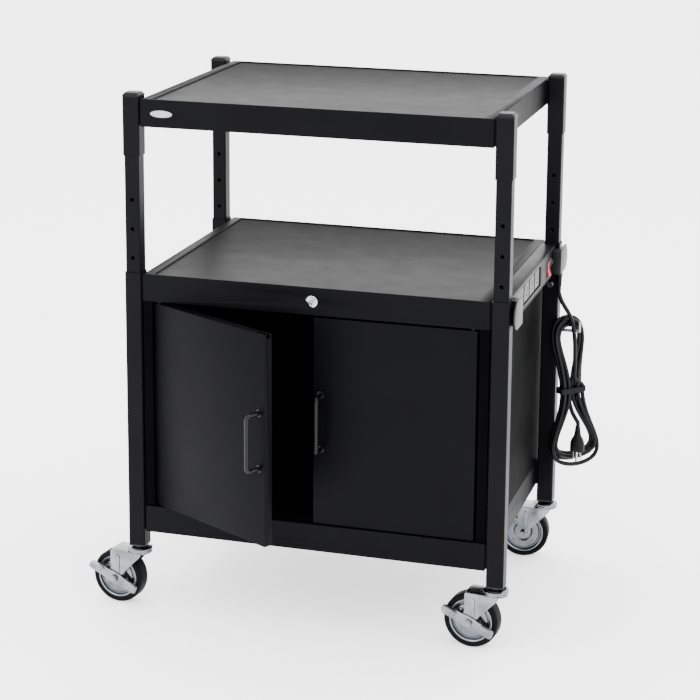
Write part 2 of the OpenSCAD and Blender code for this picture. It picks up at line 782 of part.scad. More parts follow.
// The wrap ears at both ends: a moulded root on the housing and a rounded plate over the leg
module wrap_ears() {
  root_h = unit_h - ear_rim - ear_root_drop;
  color([0.16, 0.16, 0.17]) for (s = [-1, 1]) mirror([0, s < 0 ? 1 : 0, 0]) {
    translate([unit_face, ear_root, ear_z]) cube([ear_x - ear_t - unit_face, ear_root_t, root_h]);
    translate([ear_x - ear_t, 0, unit_z + unit_h / 2]) rotate([90, 0, 90]) linear_extrude(ear_t) {
      translate([ear_root, -ear_r]) square([ear_len - ear_r, 2 * ear_r]);
      translate([ear_root + ear_len - ear_r, 0]) circle(r = ear_r, $fn = fine);
    }
  }
}

// Tapered strain relief under the back ear
module cord_gland() {
  color([0.07, 0.07, 0.07]) translate([gland_x, gland_y, ear_z]) mirror([0, 0, 1]) {
    cylinder(h = gland_len * 0.2, r = cord_r + gland_rim, $fn = coarse);
    cylinder(h = gland_len, r1 = cord_r + gland_wall, r2 = cord_r + gland_lip, $fn = coarse);
  }
}

// A rod hook on the back right leg that the hank hangs from
module cord_hook() {
  zinc() translate([cart_w / 2, hook_y, hook_z]) {
    rotate([0, 90, 0]) cylinder(h = hook_reach, r = hook_d / 2, $fn = coarse);
    rotate([0, 90, 0]) cylinder(h = hook_rose_t, r = hook_d, $fn = coarse);
    translate([hook_reach, 0, 0]) sphere(r = hook_d / 2, $fn = coarse);
    translate([hook_reach, 0, 0]) cylinder(h = hook_tip, r = hook_d / 2, $fn = coarse);
    translate([hook_reach, 0, hook_tip]) sphere(r = hook_d / 2, $fn = coarse);
  }
}

module power_cord() {
  color([0.06, 0.06, 0.06]) sweep(cord_path, cord_r, 8, hank_n);
}

module cord_hank() {
  color([0.06, 0.06, 0.06]) sweep(hank_path, cord_r, hank_sides, hank_n);
}

module plug_lead() {
  color([0.06, 0.06, 0.06]) sweep(lead_path, cord_r, 8, hank_n);
}

// The plug with its tapered strain relief and grip
module plug_body() {
  color([0.07, 0.07, 0.07]) translate(plug_at) mirror([0, 0, 1]) {
    cylinder(h = neck_len, r1 = cord_r + neck_rim, r2 = cord_r + neck_foot, $fn = coarse);
    translate([0, 0, neck_len - neck_end]) hull() {
      cylinder(h = neck_end, r = cord_r + neck_foot, $fn = coarse);
      translate([0, 0, flare_len]) linear_extrude(grip_len) plug_outline(plug_w, plug_t);
    }
  }
}

module plug_outline(w, t) {
  square([w - t * 0.6, t], center = true);
  for (s = [-1, 1]) translate([s * (w / 2 - t * 0.3), 0]) {
    square([t * 0.3, t * 0.7], center = true);
    circle(r = t * 0.3, $fn = coarse);
  }
}

module plug_blades() {
  z = neck_len - neck_end + flare_len + grip_len;
  color([0.8, 0.75, 0.6]) translate(plug_at) mirror([0, 0, 1]) {
    for (s = [-1, 1]) translate([s * blade_half - blade_t / 2, -blade_low, z]) cube([blade_t, blade_w, blade_len]);
    translate([0, -earth_set, z]) cylinder(h = earth_len, r = earth_pin_r, $fn = coarse);
  }
}

// The band that ties the hank at its waist
module cord_tie() {
  wide = hank_waist + cord_r + tie_play;
  deep = layer_gap / 2 + cord_r + tie_play;
  color([0.05, 0.05, 0.05]) translate(hank_at + hank_lean / 2 * hank_u - [0, 0, tie_h / 2]) rotate([0, 0, hank_turn])
    linear_extrude(tie_h) difference() {
      tie_outline(wide + tie_t, deep + tie_t);
      tie_outline(wide, deep);
    }
}

module tie_outline(a, b) {
  square([2 * (a - b * 0.5), 2 * b], center = true);
  square([2 * a, b], center = true);
  for (x = [-1, 1], y = [-1, 1]) translate([x * (a - b * 0.5), y * b * 0.5]) circle(r = b * 0.5, $fn = coarse);
}

// Swivel stems: the fixed half of each ball race, its nut and the stem
module caster_stems() {
  foot = fork_top - fork_t - stem_foot_t;
  cup = fork_top + race_h + free_gap;
  hex = fork_top + race_h + cup_h;
  zinc() for (sx = [-1, 1], sy = [-1, 1]) translate([sx * leg_x, sy * leg_y, 0]) {
    translate([0, 0, foot]) cylinder(h = stem_foot_t - free_gap, r = stem_d * 0.85, $fn = coarse);
    translate([0, 0, foot]) cylinder(h = leg_bottom + stem_reach - foot, r = stem_d / 2, $fn = fine);
    translate([0, 0, cup]) rotate_extrude($fn = fine) polygon([
      [0, 0], [race_r + race_rim, 0], [race_r + race_rim, cup_h * 0.4], [race_r - 3 * race_rim, cup_h * 0.8],
      [stem_d, cup_h], [0, cup_h]
    ]);
    translate([0, 0, hex]) cylinder(h = leg_bottom - insert_t - hex, r = stem_d * 0.9, $fn = 6);
  }
}

// Plastic inserts that hold the stems in the legs
module leg_inserts() {
  color([0.08, 0.08, 0.08]) for (sx = [-1, 1], sy = [-1, 1]) translate([sx * leg_x, sy * leg_y, 0]) difference() {
    union() {
      translate([0, 0, leg_bottom - insert_t]) linear_extrude(insert_t) round_square(leg_w, tube_r);
      translate([0, 0, leg_bottom]) linear_extrude(insert_len) round_square(tube_in, tube_r - tube_wall / 2);
    }
    translate([0, 0, leg_bottom - insert_t - over]) cylinder(h = insert_t + insert_len + 2 * over, r = stem_d / 2, $fn = fine);
  }
}

// Puts a caster part under a leg and turns it to its heading
module at_caster(sx, sy, turn) {
  translate([sx * leg_x, sy * leg_y, 0]) rotate([0, 0, turn]) children();
}

// Side outline of the fork plate
module fork_side() {
  top = fork_top - fork_t * 0.8;
  translate([-trail, wheel_r]) circle(r = boss_r, $fn = fine);
  polygon([
    [-fork_back, wheel_r], [-fork_back, top], [race_r * 0.5, top],
    [race_r * 0.25, fork_top - fork_skirt], [boss_r * 0.9 - trail, wheel_r + boss_r * 0.2], [-trail, wheel_r - boss_r * 0.3]
  ]);
}

// The stamped fork: roof with eased edges, two ribbed side plates and the lower half of the ball race
module fork(sx, sy, turn) {
  half = fork_out / 2;
  under = fork_top - fork_t;
  zinc() at_caster(sx, sy, turn) difference() {
    union() {
      for (s = [-1, 1]) {
        translate([0, s > 0 ? half : -fork_in / 2, 0]) rotate([90, 0, 0]) linear_extrude(fork_t) fork_side();
        translate([rib_at - trail, s * (half + rib_proud - rib_r), wheel_r + rib_foot])
          cylinder(h = fork_top - rib_drop - wheel_r - rib_foot, r = rib_r, $fn = coarse);
      }
      translate([-fork_back, 0, 0]) rotate([90, 0, 90]) linear_extrude(fork_back + race_r * 0.5) polygon([
        [-half, under], [-half, fork_top - fork_edge], [fork_edge - half, fork_top],
        [half - fork_edge, fork_top], [half, fork_top - fork_edge], [half, under]
      ]);
      translate([0, 0, under]) cylinder(h = fork_t, r = race_r + race_rim / 2, $fn = fine);
      translate([0, 0, fork_top]) rotate_extrude($fn = fine)
        polygon([[0, 0], [race_r, 0], [race_r + race_rim, race_h / 2], [race_r, race_h], [0, race_h]]);
    }
    translate([0, 0, under - over]) cylinder(h = race_h + 2 * fork_t, r = stem_d / 2 + run_fit, $fn = fine);
    translate([-trail, 0, wheel_r]) rotate([90, 0, 0]) cylinder(h = 2 * fork_out, r = axle_d / 2, center = true, $fn = fine);
    translate([-fork_back - over, -fork_in / 2, wheel_r]) cube([fork_back + race_r, fork_in, under - wheel_r]);
  }
}

// The axle bolt: hex head, shank and nut
module axle(sx, sy, turn) {
  half = fork_out / 2;
  end = half + brake_t + 2 * free_gap;
  zinc() at_caster(sx, sy, turn) translate([-trail, 0, wheel_r]) rotate([90, 0, 0]) {
    translate([0, 0, -half]) cylinder(h = half + end + axle_tip, r = axle_d / 2, $fn = fine);
    translate([0, 0, -half - nut_t]) cylinder(h = nut_t, r = axle_d * 0.8, $fn = 6);
    translate([0, 0, end]) cylinder(h = nut_t, r = axle_d * 0.8, $fn = 6);
  }
}

// The wheel disc with its hub, pressed rings and rivets
module hub(sx, sy, turn) {
  h = hub_w / 2;
  r = rim_r;
  half = [
    [axle_d / 2 + run_fit, h], [r * 0.22, h], [r * 0.26, h * 0.62], [r * 0.42, h * 0.48], [r * 0.48, h * 0.62],
    [r * 0.76, h * 0.62], [r * 0.8, h * 0.44], [r * 0.87, h * 0.44], [r * 0.92, h * 0.84], [r, h * 0.84]
  ];
  back = [for (i = [len(half) - 1:-1:0]) [half[i][0], -half[i][1]]];
  zinc() at_caster(sx, sy, turn) translate([-trail, 0, wheel_r]) rotate([90, 0, 0]) {
    rotate_extrude($fn = fine) polygon(concat(half, back));
    for (a = [45:90:315]) rotate([0, 0, a]) translate([r * 0.64, 0, 0])
      cylinder(h = 2 * (h * 0.62 + rivet_proud), r = rivet_r, center = true, $fn = 12);
  }
}

// The rubber tyre round the disc
module tyre(sx, sy, turn) {
  w = tyre_w / 2;
  color([0.06, 0.06, 0.06]) at_caster(sx, sy, turn) translate([-trail, 0, wheel_r]) rotate([90, 0, 0])
    rotate_extrude($fn = 96) polygon([
      [rim_r, -w * 0.92], [rim_r + tyre_t * 0.55, -w], [rim_r + tyre_t * 0.84, -w * 0.93], [wheel_r, -w * 0.7],
      [wheel_r, w * 0.7], [rim_r + tyre_t * 0.84, w * 0.93], [rim_r + tyre_t * 0.55, w], [rim_r, w * 0.92]
    ]);
}

// A rectangle with two round corners at its free edge
module pad_outline() {
  square([pad_len, pad_out - pad_r]);
  translate([pad_r, 0]) square([pad_len - 2 * pad_r, pad_out]);
  for (x = [pad_r, pad_len - pad_r]) translate([x, pad_out - pad_r]) circle(r = pad_r, $fn = coarse);
}

// The rocker brake on the axle: a strip over the boss with a rounded pad turned out at each end
module brake(sx, sy, turn) {
  half = brake_wide / 2;
  zinc() at_caster(sx, sy, turn) translate([-trail, brake_y, wheel_r]) rotate([0, brake_slope, 0]) difference() {
    union() {
      translate([half / 2 - brake_back, -brake_t, -half]) cube([brake_back + brake_fore - half, brake_t, brake_wide]);
      for (x = [half / 2 - brake_back, brake_fore - half / 2]) translate([x, 0, 0]) rotate([90, 0, 0])
        linear_extrude(brake_t) {
          square([half, half], center = true);
          for (z = [-1, 1]) translate([0, z * half / 2]) circle(r = half / 2, $fn = coarse);
        }
      rotate([90, 0, 0]) cylinder(h = brake_t, r = half * 1.2, $fn = fine);
      for (x = [-brake_back, brake_fore - pad_len]) translate([x, -brake_t / 2, half - brake_t]) rotate([pad_tilt, 0, 0])
        mirror([0, 1, 0]) linear_extrude(brake_t) pad_outline();
    }
    rotate([90, 0, 0]) cylinder(h = 6 * brake_t, r = axle_d / 2 + run_fit, center = true, $fn = fine);
  }
}

leg(-1, -1);  // leg_front_left
leg(1, -1);  // leg_front_right
leg(-1, 1);  // leg_back_left
leg(1, 1);  // leg_back_right
clamp_bolts();
bottom_shelf();
middle_shelf();
side_panel(-1);  // side_panel_left
side_panel(1);  // side_panel_right
back_panel();
post(-1, -1);  // post_front_left
post(1, -1);  // post_front_right
post(-1, 1);  // post_back_left
post(1, 1);  // post_back_right
top_sleeves();
post_caps();
top_shelf();
door_left();
door_right();
pull_left();
pull_right();
pivot_pins();
lock_barrel();
lock_plug();
lock_cam();
unit_housing();
outlet_strip();
switch_frame();
rocker_switch();
reset_bezel();
reset_button();
wrap_ears();
cord_gland();
cord_hook();
power_cord();
cord_hank();
plug_lead();
plug_body();
plug_blades();
cord_tie();
caster_stems();
leg_inserts();
fork(-1, -1, turn_fl);  // fork_front_left
fork(1, -1, turn_fr);  // fork_front_right
fork(-1, 1, turn_bl);  // fork_back_left
fork(1, 1, turn_br);  // fork_back_right
axle(-1, -1, turn_fl);  // axle_front_left
axle(1, -1, turn_fr);  // axle_front_right
axle(-1, 1, turn_bl);  // axle_back_left
axle(1, 1, turn_br);  // axle_back_right
hub(-1, -1, turn_fl);  // hub_front_left
hub(1, -1, turn_fr);  // hub_front_right
hub(-1, 1, turn_bl);  // hub_back_left
hub(1, 1, turn_br);  // hub_back_right
tyre(-1, -1, turn_fl);  // tyre_front_left
tyre(1, -1, turn_fr);  // tyre_front_right
tyre(-1, 1, turn_bl);  // tyre_back_left
tyre(1, 1, turn_br);  // tyre_back_right
brake(-1, -1, turn_fl);  // brake_front_left
brake(1, -1, turn_fr);  // brake_front_right
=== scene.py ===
"""Dresses the projector cart: its paint, its casters, its plug and its hung cord."""

from __future__ import annotations

import json
import logging
import math
from dataclasses import dataclass, field
from enum import Enum
from typing import Iterable, Sequence

import bpy
from mathutils import Matrix, Vector

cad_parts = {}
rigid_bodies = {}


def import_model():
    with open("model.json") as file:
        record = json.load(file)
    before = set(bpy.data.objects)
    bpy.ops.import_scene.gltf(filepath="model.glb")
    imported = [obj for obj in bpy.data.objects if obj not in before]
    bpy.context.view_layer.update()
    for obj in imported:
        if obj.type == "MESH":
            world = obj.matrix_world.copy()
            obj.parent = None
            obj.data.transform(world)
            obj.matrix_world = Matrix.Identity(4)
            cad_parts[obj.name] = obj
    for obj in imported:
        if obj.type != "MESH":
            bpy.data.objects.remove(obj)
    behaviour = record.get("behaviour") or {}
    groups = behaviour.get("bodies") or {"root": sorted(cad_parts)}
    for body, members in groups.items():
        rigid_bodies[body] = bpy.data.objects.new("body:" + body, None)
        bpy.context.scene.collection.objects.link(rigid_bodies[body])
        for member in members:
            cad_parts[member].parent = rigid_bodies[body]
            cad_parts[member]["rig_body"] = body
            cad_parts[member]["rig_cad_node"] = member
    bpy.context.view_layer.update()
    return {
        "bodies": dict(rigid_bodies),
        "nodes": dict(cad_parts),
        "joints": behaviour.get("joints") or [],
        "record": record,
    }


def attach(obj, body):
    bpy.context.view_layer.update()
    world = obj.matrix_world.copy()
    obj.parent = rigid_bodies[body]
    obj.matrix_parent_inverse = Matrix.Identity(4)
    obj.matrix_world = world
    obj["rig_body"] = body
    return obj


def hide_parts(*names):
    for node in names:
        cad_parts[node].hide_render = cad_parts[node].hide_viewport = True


LOG = logging.getLogger("cart")
MM = 0.001
WHITE = (1.0, 1.0, 1.0, 1.0)
QUARTER_TURN = Matrix.Rotation(math.radians(90), 4, "X")
Point = tuple[float, float, float]
Flat = tuple[float, float]
Triple = tuple[float, float, float]
Colour = tuple[float, float, float]


class Wire:
    """A shader socket that can be used in a Python sum."""

    def __init__(self, plan: Plan, socket: bpy.types.NodeSocket) -> None:
        """Keeps an output socket and the node plan that it belongs to."""
        self.plan = plan
        self.socket = socket

    def _sum(self, operation: str, first: object, second: object) -> Wire:
        """Adds one Math node for two wires, or a wire and a number."""
        return self.plan.node("ShaderNodeMath", {"operation": operation}, {0: first, 1: second})

    def __add__(self, other: object) -> Wire:
        """Adds a wire or a number."""
        return self._sum("ADD", self, other)

    def __radd__(self, other: object) -> Wire:
        """Adds itself to a number."""
        return self._sum("ADD", other, self)

    def __sub__(self, other: object) -> Wire:
        """Takes a wire or a number away."""
        return self._sum("SUBTRACT", self, other)

    def __rsub__(self, other: object) -> Wire:
        """Takes itself away from a number."""
        return self._sum("SUBTRACT", other, self)

    def __mul__(self, other: object) -> Wire:
        """Multiplies by a wire or a number."""
        return self._sum("MULTIPLY", self, other)

    def __rmul__(self, other: object) -> Wire:
        """Multiplies a number by itself."""
        return self._sum("MULTIPLY", other, self)


class Plan:
    """The node plan of one material, round its shader."""

    def __init__(self, name: str) -> None:
        """Starts a material.

        Args:
            name: The name of the material.
        """
        self.material = bpy.data.materials.new(name)
        self.material.use_nodes = True
        self.tree = self.material.node_tree
        self.shader = self.tree.nodes["Principled BSDF"]
        self.spot = self.node("ShaderNodeTexCoord", out="Object")

    def node(
        self,
        kind: str,
        settings: dict[str, object] | None = None,
        sockets: dict[object, object] | None = None,
        out: object = 0,
    ) -> Wire:
        """Adds a node with its settings and the values or links of its sockets.

        Args:
            kind: The type of the node.
            settings: What is set on the node itself, such as its operation.
            sockets: Values or wires by the name or number of the socket.
            out: The name or number of the output.

        Returns:
            The wire that leaves the node.
        """
        made = self.tree.nodes.new(kind)
        for key, value in (settings or {}).items():
            setattr(made, key, value)
        for key, value in (sockets or {}).items():
            if isinstance(value, Wire):
                self.tree.links.new(value.socket, made.inputs[key])
            else:
                made.inputs[key].default_value = value
        return Wire(self, made.outputs[out])

    def noise(self, scale: float, detail: float = 2.0, spot: Wire | None = None) -> Wire:
        """Adds a noise pattern on the piece's own coordinates.

        Args:
            scale: How many features there are in a metre.
            detail: How many finer layers it has.
            spot: Squeezed coordinates to read instead.

        Returns:
            The strength of the pattern, from 0 to 1.
        """
        sockets = {"Vector": spot or self.spot, "Scale": scale, "Detail": detail}
        return self.node("ShaderNodeTexNoise", {}, sockets, "Fac")

    def band(self, value: Wire, low: float, high: float) -> Wire:
        """Stretches the part of a wire between low and high to run from 0 to 1."""
        return self.node("ShaderNodeMapRange", {"clamp": True}, {"Value": value, 1: low, 2: high})

    def blend(self, share: Wire, first: Colour, second: Colour) -> Wire:
        """Mixes two colours by the share of the second."""
        sockets = {0: share, 6: (*first, 1.0), 7: (*second, 1.0)}
        return self.node("ShaderNodeMix", {"data_type": "RGBA"}, sockets, 2)

    def bump(self, height: Wire, depth: float, strength: float) -> Wire:
        """Bends the normal by a height from 0 to 1, in steps that are depth metres deep."""
        return self.node("ShaderNodeBump", {}, {"Strength": strength, "Distance": depth, "Height": height})

    def feed(self, socket: str, value: object) -> None:
        """Sets or links a socket of the shader.

        Args:
            socket: The name of the socket.
            value: A wire or a value.
        """
        if isinstance(value, Wire):
            self.tree.links.new(value.socket, self.shader.inputs[socket])
        else:
            self.shader.inputs[socket].default_value = value


@dataclass(frozen=True)
class Finish:
    """A finish: its two shades, its gloss and its grain."""

    name: str
    slot: str
    shade: Colour
    second: Colour
    rough: float
    rough_swing: float = 0.06
    metal: float = 0.0
    cloud: float = 9.0
    grain: float = 900.0
    grain_depth: float = 0.00006
    grain_show: float = 0.35
    level: float = 0.5
    glow: float = 0.0
    cloud_detail: float = 3.0
    cloud_low: float = 0.3
    cloud_high: float = 0.7
    grain_detail: float = 1.0
    smudge_finer: float = 2.7
    smudge_detail: float = 4.0

    def material(self) -> bpy.types.Material:
        """Builds the material of this finish.

        Returns:
            The material.
        """
        plan = Plan(self.name)
        cloud = plan.band(plan.noise(self.cloud, self.cloud_detail), self.cloud_low, self.cloud_high)
        grain = plan.noise(self.grain, self.grain_detail)
        # The cloud mixes the two shades at random. Where the contrast is strong, as on the zinc and disc
        # plating, the darker patches are also painted reflection.
        plan.feed("Base Color", plan.blend(cloud, self.shade, self.second))
        smudge = plan.noise(self.cloud * self.smudge_finer, self.smudge_detail)
        plan.feed("Roughness", self.rough + (smudge - 0.5) * (2.0 * self.rough_swing))
        plan.feed("Metallic", self.metal)
        plan.feed("Specular IOR Level", self.level)
        plan.feed("Normal", plan.bump(self.relief(plan, grain), self.grain_depth, self.grain_show))
        if self.glow:
            plan.feed("Emission Color", (*self.shade, 1.0))
            plan.feed("Emission Strength", self.glow)
        return plan.material

    def relief(self, plan: Plan, grain: Wire) -> Wire:
        """Gives the height of the surface, here its grain alone."""
        return grain


@dataclass(frozen=True)
class Jacket(Finish):
    """A cord jacket, with slow waves under its grain."""

    grain_share: float = 0.6
    wave: float = 70.0
    wave_share: float = 0.4

    def relief(self, plan: Plan, grain: Wire) -> Wire:
        """Adds slow waves to the grain."""
        return grain * self.grain_share + plan.noise(self.wave) * self.wave_share


@dataclass(frozen=True)
class Plating(Finish):
    """Bright plating, with the fine scratches of rolled sheet."""

    grain_share: float = 0.5
    line_share: float = 0.5
    line_finer: float = 2.0
    squeeze: Triple = (1.0, 1.0, 0.08)

    def relief(self, plan: Plan, grain: Wire) -> Wire:
        """Adds scratches, which are a finer grain drawn out along the Z axis.

        Args:
            plan: The node plan of the material.
            grain: The grain.

        Returns:
            The height of the surface.
        """
        drawn = plan.node("ShaderNodeMapping", {}, {"Vector": plan.spot, "Scale": self.squeeze})
        lines = plan.noise(self.grain * self.line_finer, spot=drawn)
        return grain * self.grain_share + lines * self.line_share


class Paintbox:
    """All the finishes of the cart, by the record's slots."""

    FINISHES: tuple[Finish, ...] = (
        Finish(
            "powder_frame", "frame_paint", (0.0014, 0.0014, 0.0019), (0.0020, 0.0020, 0.0026), 0.40,
            level=0.048,
        ),
        Finish(
            "powder_shelf", "shelf_paint", (0.0014, 0.0014, 0.0019), (0.0020, 0.0020, 0.0027), 0.48,
            level=0.036,
        ),
        Finish(
            "powder_panel", "panel_paint", (0.0006, 0.0006, 0.0008), (0.0009, 0.0009, 0.0012), 0.60,
            level=0.010,
        ),
        Finish(
            "powder_door", "door_paint", (0.0012, 0.0012, 0.0018), (0.0016, 0.0016, 0.0023), 0.40,
            level=0.036,
        ),
        Finish(
            "powder_pull", "pull_paint", (0.0014, 0.0014, 0.0019), (0.0020, 0.0020, 0.0026), 0.28,
            level=0.16,
        ),
        Finish(
            "powder_unit", "unit_paint", (0.0022, 0.0022, 0.0028), (0.0032, 0.0032, 0.0040), 0.40,
            level=0.06,
        ),
        Finish(
            "dark_pin", "pin_black", (0.0010, 0.0010, 0.0013), (0.0016, 0.0016, 0.0020), 0.4,
            level=0.06,
        ),
        Finish(
            "moulded_ear", "ear_plastic", (0.0050, 0.0050, 0.0058), (0.0070, 0.0070, 0.0080), 0.42,
            grain=1600.0, level=0.18,
        ),
        Finish(
            "moulded_cap", "cap_plastic", (0.0020, 0.0020, 0.0025), (0.0030, 0.0030, 0.0036), 0.40,
            grain=1600.0, level=0.10,
        ),
        Finish(
            "moulded_insert", "insert_plastic", (0.004, 0.004, 0.004), (0.005, 0.005, 0.005), 0.5,
            level=0.2,
        ),
        Finish(
            "moulded_outlet", "outlet_plastic", (0.006, 0.006, 0.0064), (0.009, 0.009, 0.0096), 0.38,
            grain=1800.0, level=0.25,
        ),
        Finish(
            "lit_rocker", "rocker_red", (0.30, 0.004, 0.018), (0.24, 0.003, 0.014), 0.30,
            grain_show=0.05, level=0.12, glow=0.35,
        ),
        Finish("nickel_bezel", "bezel_metal", (0.36, 0.36, 0.37), (0.30, 0.30, 0.31), 0.28, metal=1.0),
        Finish(
            "moulded_button", "button_plastic", (0.010, 0.010, 0.010), (0.014, 0.014, 0.014), 0.4,
            level=0.3,
        ),
        Plating(
            "chrome_lock", "lock_chrome", (0.40, 0.41, 0.42), (0.34, 0.35, 0.36), 0.14,
            rough_swing=0.03, metal=1.0, grain_show=0.08,
        ),
        # The strong contrast between these two zinc shades is partly random tone and partly painted
        # reflection: the darker cloud patches stand for the dark streaks that the plating mirrors.
        Plating(
            "zinc", "zinc_plate", (0.22, 0.23, 0.247), (0.12, 0.127, 0.14), 0.20,
            rough_swing=0.08, metal=1.0, cloud=40.0, grain_show=0.12,
        ),
        Plating(
            "hook_wire", "hook_metal", (0.30, 0.31, 0.32), (0.22, 0.23, 0.24), 0.25,
            metal=1.0, grain_show=0.1,
        ),
        # The strong contrast between these two disc shades is partly random tone and partly painted
        # reflection: the darker cloud patches stand for the dark streaks that the plating mirrors.
        Plating(
            "zinc_disc", "disc_metal", (0.17, 0.182, 0.20), (0.085, 0.094, 0.106), 0.24,
            rough_swing=0.08, metal=1.0, cloud=40.0, grain_show=0.12,
        ),
        Finish(
            "solid_rubber", "tyre_rubber", (0.0012, 0.0012, 0.0014), (0.0024, 0.0024, 0.0027), 0.52,
            rough_swing=0.10, cloud=30.0, grain=1500.0, grain_show=0.4, level=0.04,
        ),
        Jacket(
            "cord_jacket", "cord_rubber", (0.0016, 0.0016, 0.0022), (0.0028, 0.0028, 0.0036), 0.32,
            cloud=25.0, grain=1400.0, grain_show=0.25, level=0.09,
        ),
        Finish(
            "plug_rubber", "plug_rubber", (0.0018, 0.0018, 0.0023), (0.0030, 0.0030, 0.0036), 0.40,
            cloud=40.0, grain=1800.0, grain_show=0.3, level=0.10,
        ),
        Plating(
            "nickel_blade", "blade_metal", (0.42, 0.41, 0.37), (0.36, 0.35, 0.32), 0.2,
            metal=1.0, grain_show=0.06,
        ),
        Finish(
            "strap", "tie_strap", (0.0016, 0.0016, 0.0026), (0.0026, 0.0026, 0.0038), 0.5,
            cloud=60.0, level=0.08,
        ),
    )

    def __init__(self, record: dict[str, object]) -> None:
        """Makes every material and keeps it by its slot.

        Args:
            record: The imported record.
        """
        self.by_slot = {finish.slot: finish.material() for finish in self.FINISHES}
        self.node_slot = {row["node"]: row["material_slot"] for row in record["subparts"]}

    def coat(self, piece: bpy.types.Object, slot: str) -> None:
        """Gives a piece the finish of one of the record's slots."""
        piece.data.materials.clear()
        piece.data.materials.append(self.by_slot[slot])

    def coat_nodes(self, nodes: dict[str, bpy.types.Object]) -> None:
        """Gives every carried-over node the finish of its slot.

        Args:
            nodes: The nodes by name.
        """
        for name, node in nodes.items():
            for place in node.material_slots:
                place.material = self.by_slot[self.node_slot[name]]
        LOG.info("%d nodes painted", len(nodes))


class Bench:
    """The bench where pieces are made by hand, with a primitive at the start of each."""

    SHARP = 35.0
    TURNED_SHARP = 30.0
    DOUBLES = 1e-6
    NODE_DOUBLES = 2e-6
    NODE_FLAT = 0.5

    @staticmethod
    def clear() -> None:
        """Deselects everything."""
        if bpy.context.object and bpy.context.object.mode != "OBJECT":
            bpy.ops.object.mode_set(mode="OBJECT")
        bpy.ops.object.select_all(action="DESELECT")

    @staticmethod
    def pick(piece: bpy.types.Object) -> None:
        """Selects one piece alone and makes it active.

        Args:
            piece: The piece.
        """
        Bench.clear()
        piece.select_set(True)
        bpy.context.view_layer.objects.active = piece

    @staticmethod
    def named(name: str) -> bpy.types.Object:
        """Names the active piece and settles its place in its mesh.

        Args:
            name: The name of the piece.

        Returns:
            The piece.
        """
        piece = bpy.context.object
        piece.name = name
        piece.data.name = name
        bpy.ops.object.transform_apply(location=True, rotation=True, scale=True)
        return piece

    @staticmethod
    def outline(name: str, points: Sequence[Point], closed: bool = True) -> bpy.types.Object:
        """Draws an outline by extruding one vertex from point to point.

        Args:
            name: The name of the piece.
            points: The corners, in metres.
            closed: Whether the outline is filled with a face.

        Returns:
            The piece, with its outline selected in edit mode.
        """
        Bench.clear()
        bpy.ops.mesh.primitive_plane_add(size=MM, location=points[0])
        piece = Bench.named(name)
        bpy.ops.object.mode_set(mode="EDIT")
        bpy.ops.mesh.select_all(action="SELECT")
        bpy.ops.mesh.merge(type="CENTER")
        for before, after in zip(points, points[1:]):
            step = tuple(b - a for a, b in zip(before, after))
            bpy.ops.mesh.extrude_region_move(TRANSFORM_OT_translate={"value": step})
        bpy.ops.mesh.select_all(action="SELECT")
        if closed:
            bpy.ops.mesh.edge_face_add()
        return piece

    @staticmethod
    def shut() -> None:
        """Turns all faces of the piece in edit mode outwards and leaves edit mode."""
        bpy.ops.mesh.select_all(action="SELECT")
        bpy.ops.mesh.normals_make_consistent(inside=False)
        bpy.ops.object.mode_set(mode="OBJECT")

    @staticmethod
    def plate(
        name: str, points: Sequence[Point], rise: Point, edge: float, steps: int = 2
    ) -> bpy.types.Object:
        """Makes a plate from its outline and its thickness, with eased edges.

        Args:
            name: The name of the piece.
            points: The corners of the outline, in metres.
            rise: The thickness as a move, in millimetres.
            edge: The width of the eased edge, in millimetres.
            steps: How many facets the edge has.

        Returns:
            The piece.
        """
        piece = Bench.outline(name, points)
        move = tuple(part * MM for part in rise)
        bpy.ops.mesh.extrude_region_move(TRANSFORM_OT_translate={"value": move})
        Bench.shut()
        return Bench.eased(piece, edge, steps)

    @staticmethod
    def eased(
        piece: bpy.types.Object, edge: float, steps: int = 2, angle: float = SHARP
    ) -> bpy.types.Object:
        """Eases the sharp edges of a piece and smooths what is round.

        Args:
            piece: The piece.
            edge: The width of the eased edge, in millimetres, or 0 for none.
            steps: How many facets it has.
            angle: Edges sharper than this are eased.

        Returns:
            The piece.
        """
        Bench.pick(piece)
        if edge > 0:
            bevel = piece.modifiers.new("edge", "BEVEL")
            bevel.width = edge * MM
            bevel.segments = steps
            bevel.limit_method = "ANGLE"
            bevel.angle_limit = math.radians(angle)
            bevel.miter_outer = "MITER_ARC"
            bevel.use_clamp_overlap = True
            bpy.ops.object.modifier_apply(modifier=bevel.name)
        bpy.ops.object.shade_smooth_by_angle(angle=math.radians(angle))
        return piece

    @staticmethod
    def block(name: str, low: Point, high: Point) -> bpy.types.Object:
        """Makes a plain block between two corners.

        Args:
            name: The name of the piece.
            low: The lowest corner, in metres.
            high: The highest corner, in metres.

        Returns:
            The piece.
        """
        Bench.clear()
        middle = tuple((a + b) / 2 for a, b in zip(low, high))
        size = tuple(b - a for a, b in zip(low, high))
        bpy.ops.mesh.primitive_cube_add(size=1.0, location=middle, scale=size)
        return Bench.eased(Bench.named(name), 0.0)

    @staticmethod
    def turned(name: str, profile: Sequence[Flat], steps: int, edge: float = 0.0) -> bpy.types.Object:
        """Turns a profile about the Z axis.

        Args:
            name: The name of the piece.
            profile: Radius and height of each corner, in millimetres.
            steps: How many facets go round.
            edge: The width of the eased edges, in millimetres.

        Returns:
            The piece.
        """
        piece = Bench.outline(name, standing(profile), closed=False)
        bpy.ops.mesh.spin(
            steps=steps, angle=2 * math.pi, center=(0.0, 0.0, 0.0), axis=(0.0, 0.0, 1.0), dupli=False
        )
        bpy.ops.mesh.select_all(action="SELECT")
        bpy.ops.mesh.remove_doubles(threshold=Bench.DOUBLES)
        Bench.shut()
        return Bench.eased(piece, edge, angle=Bench.TURNED_SHARP)

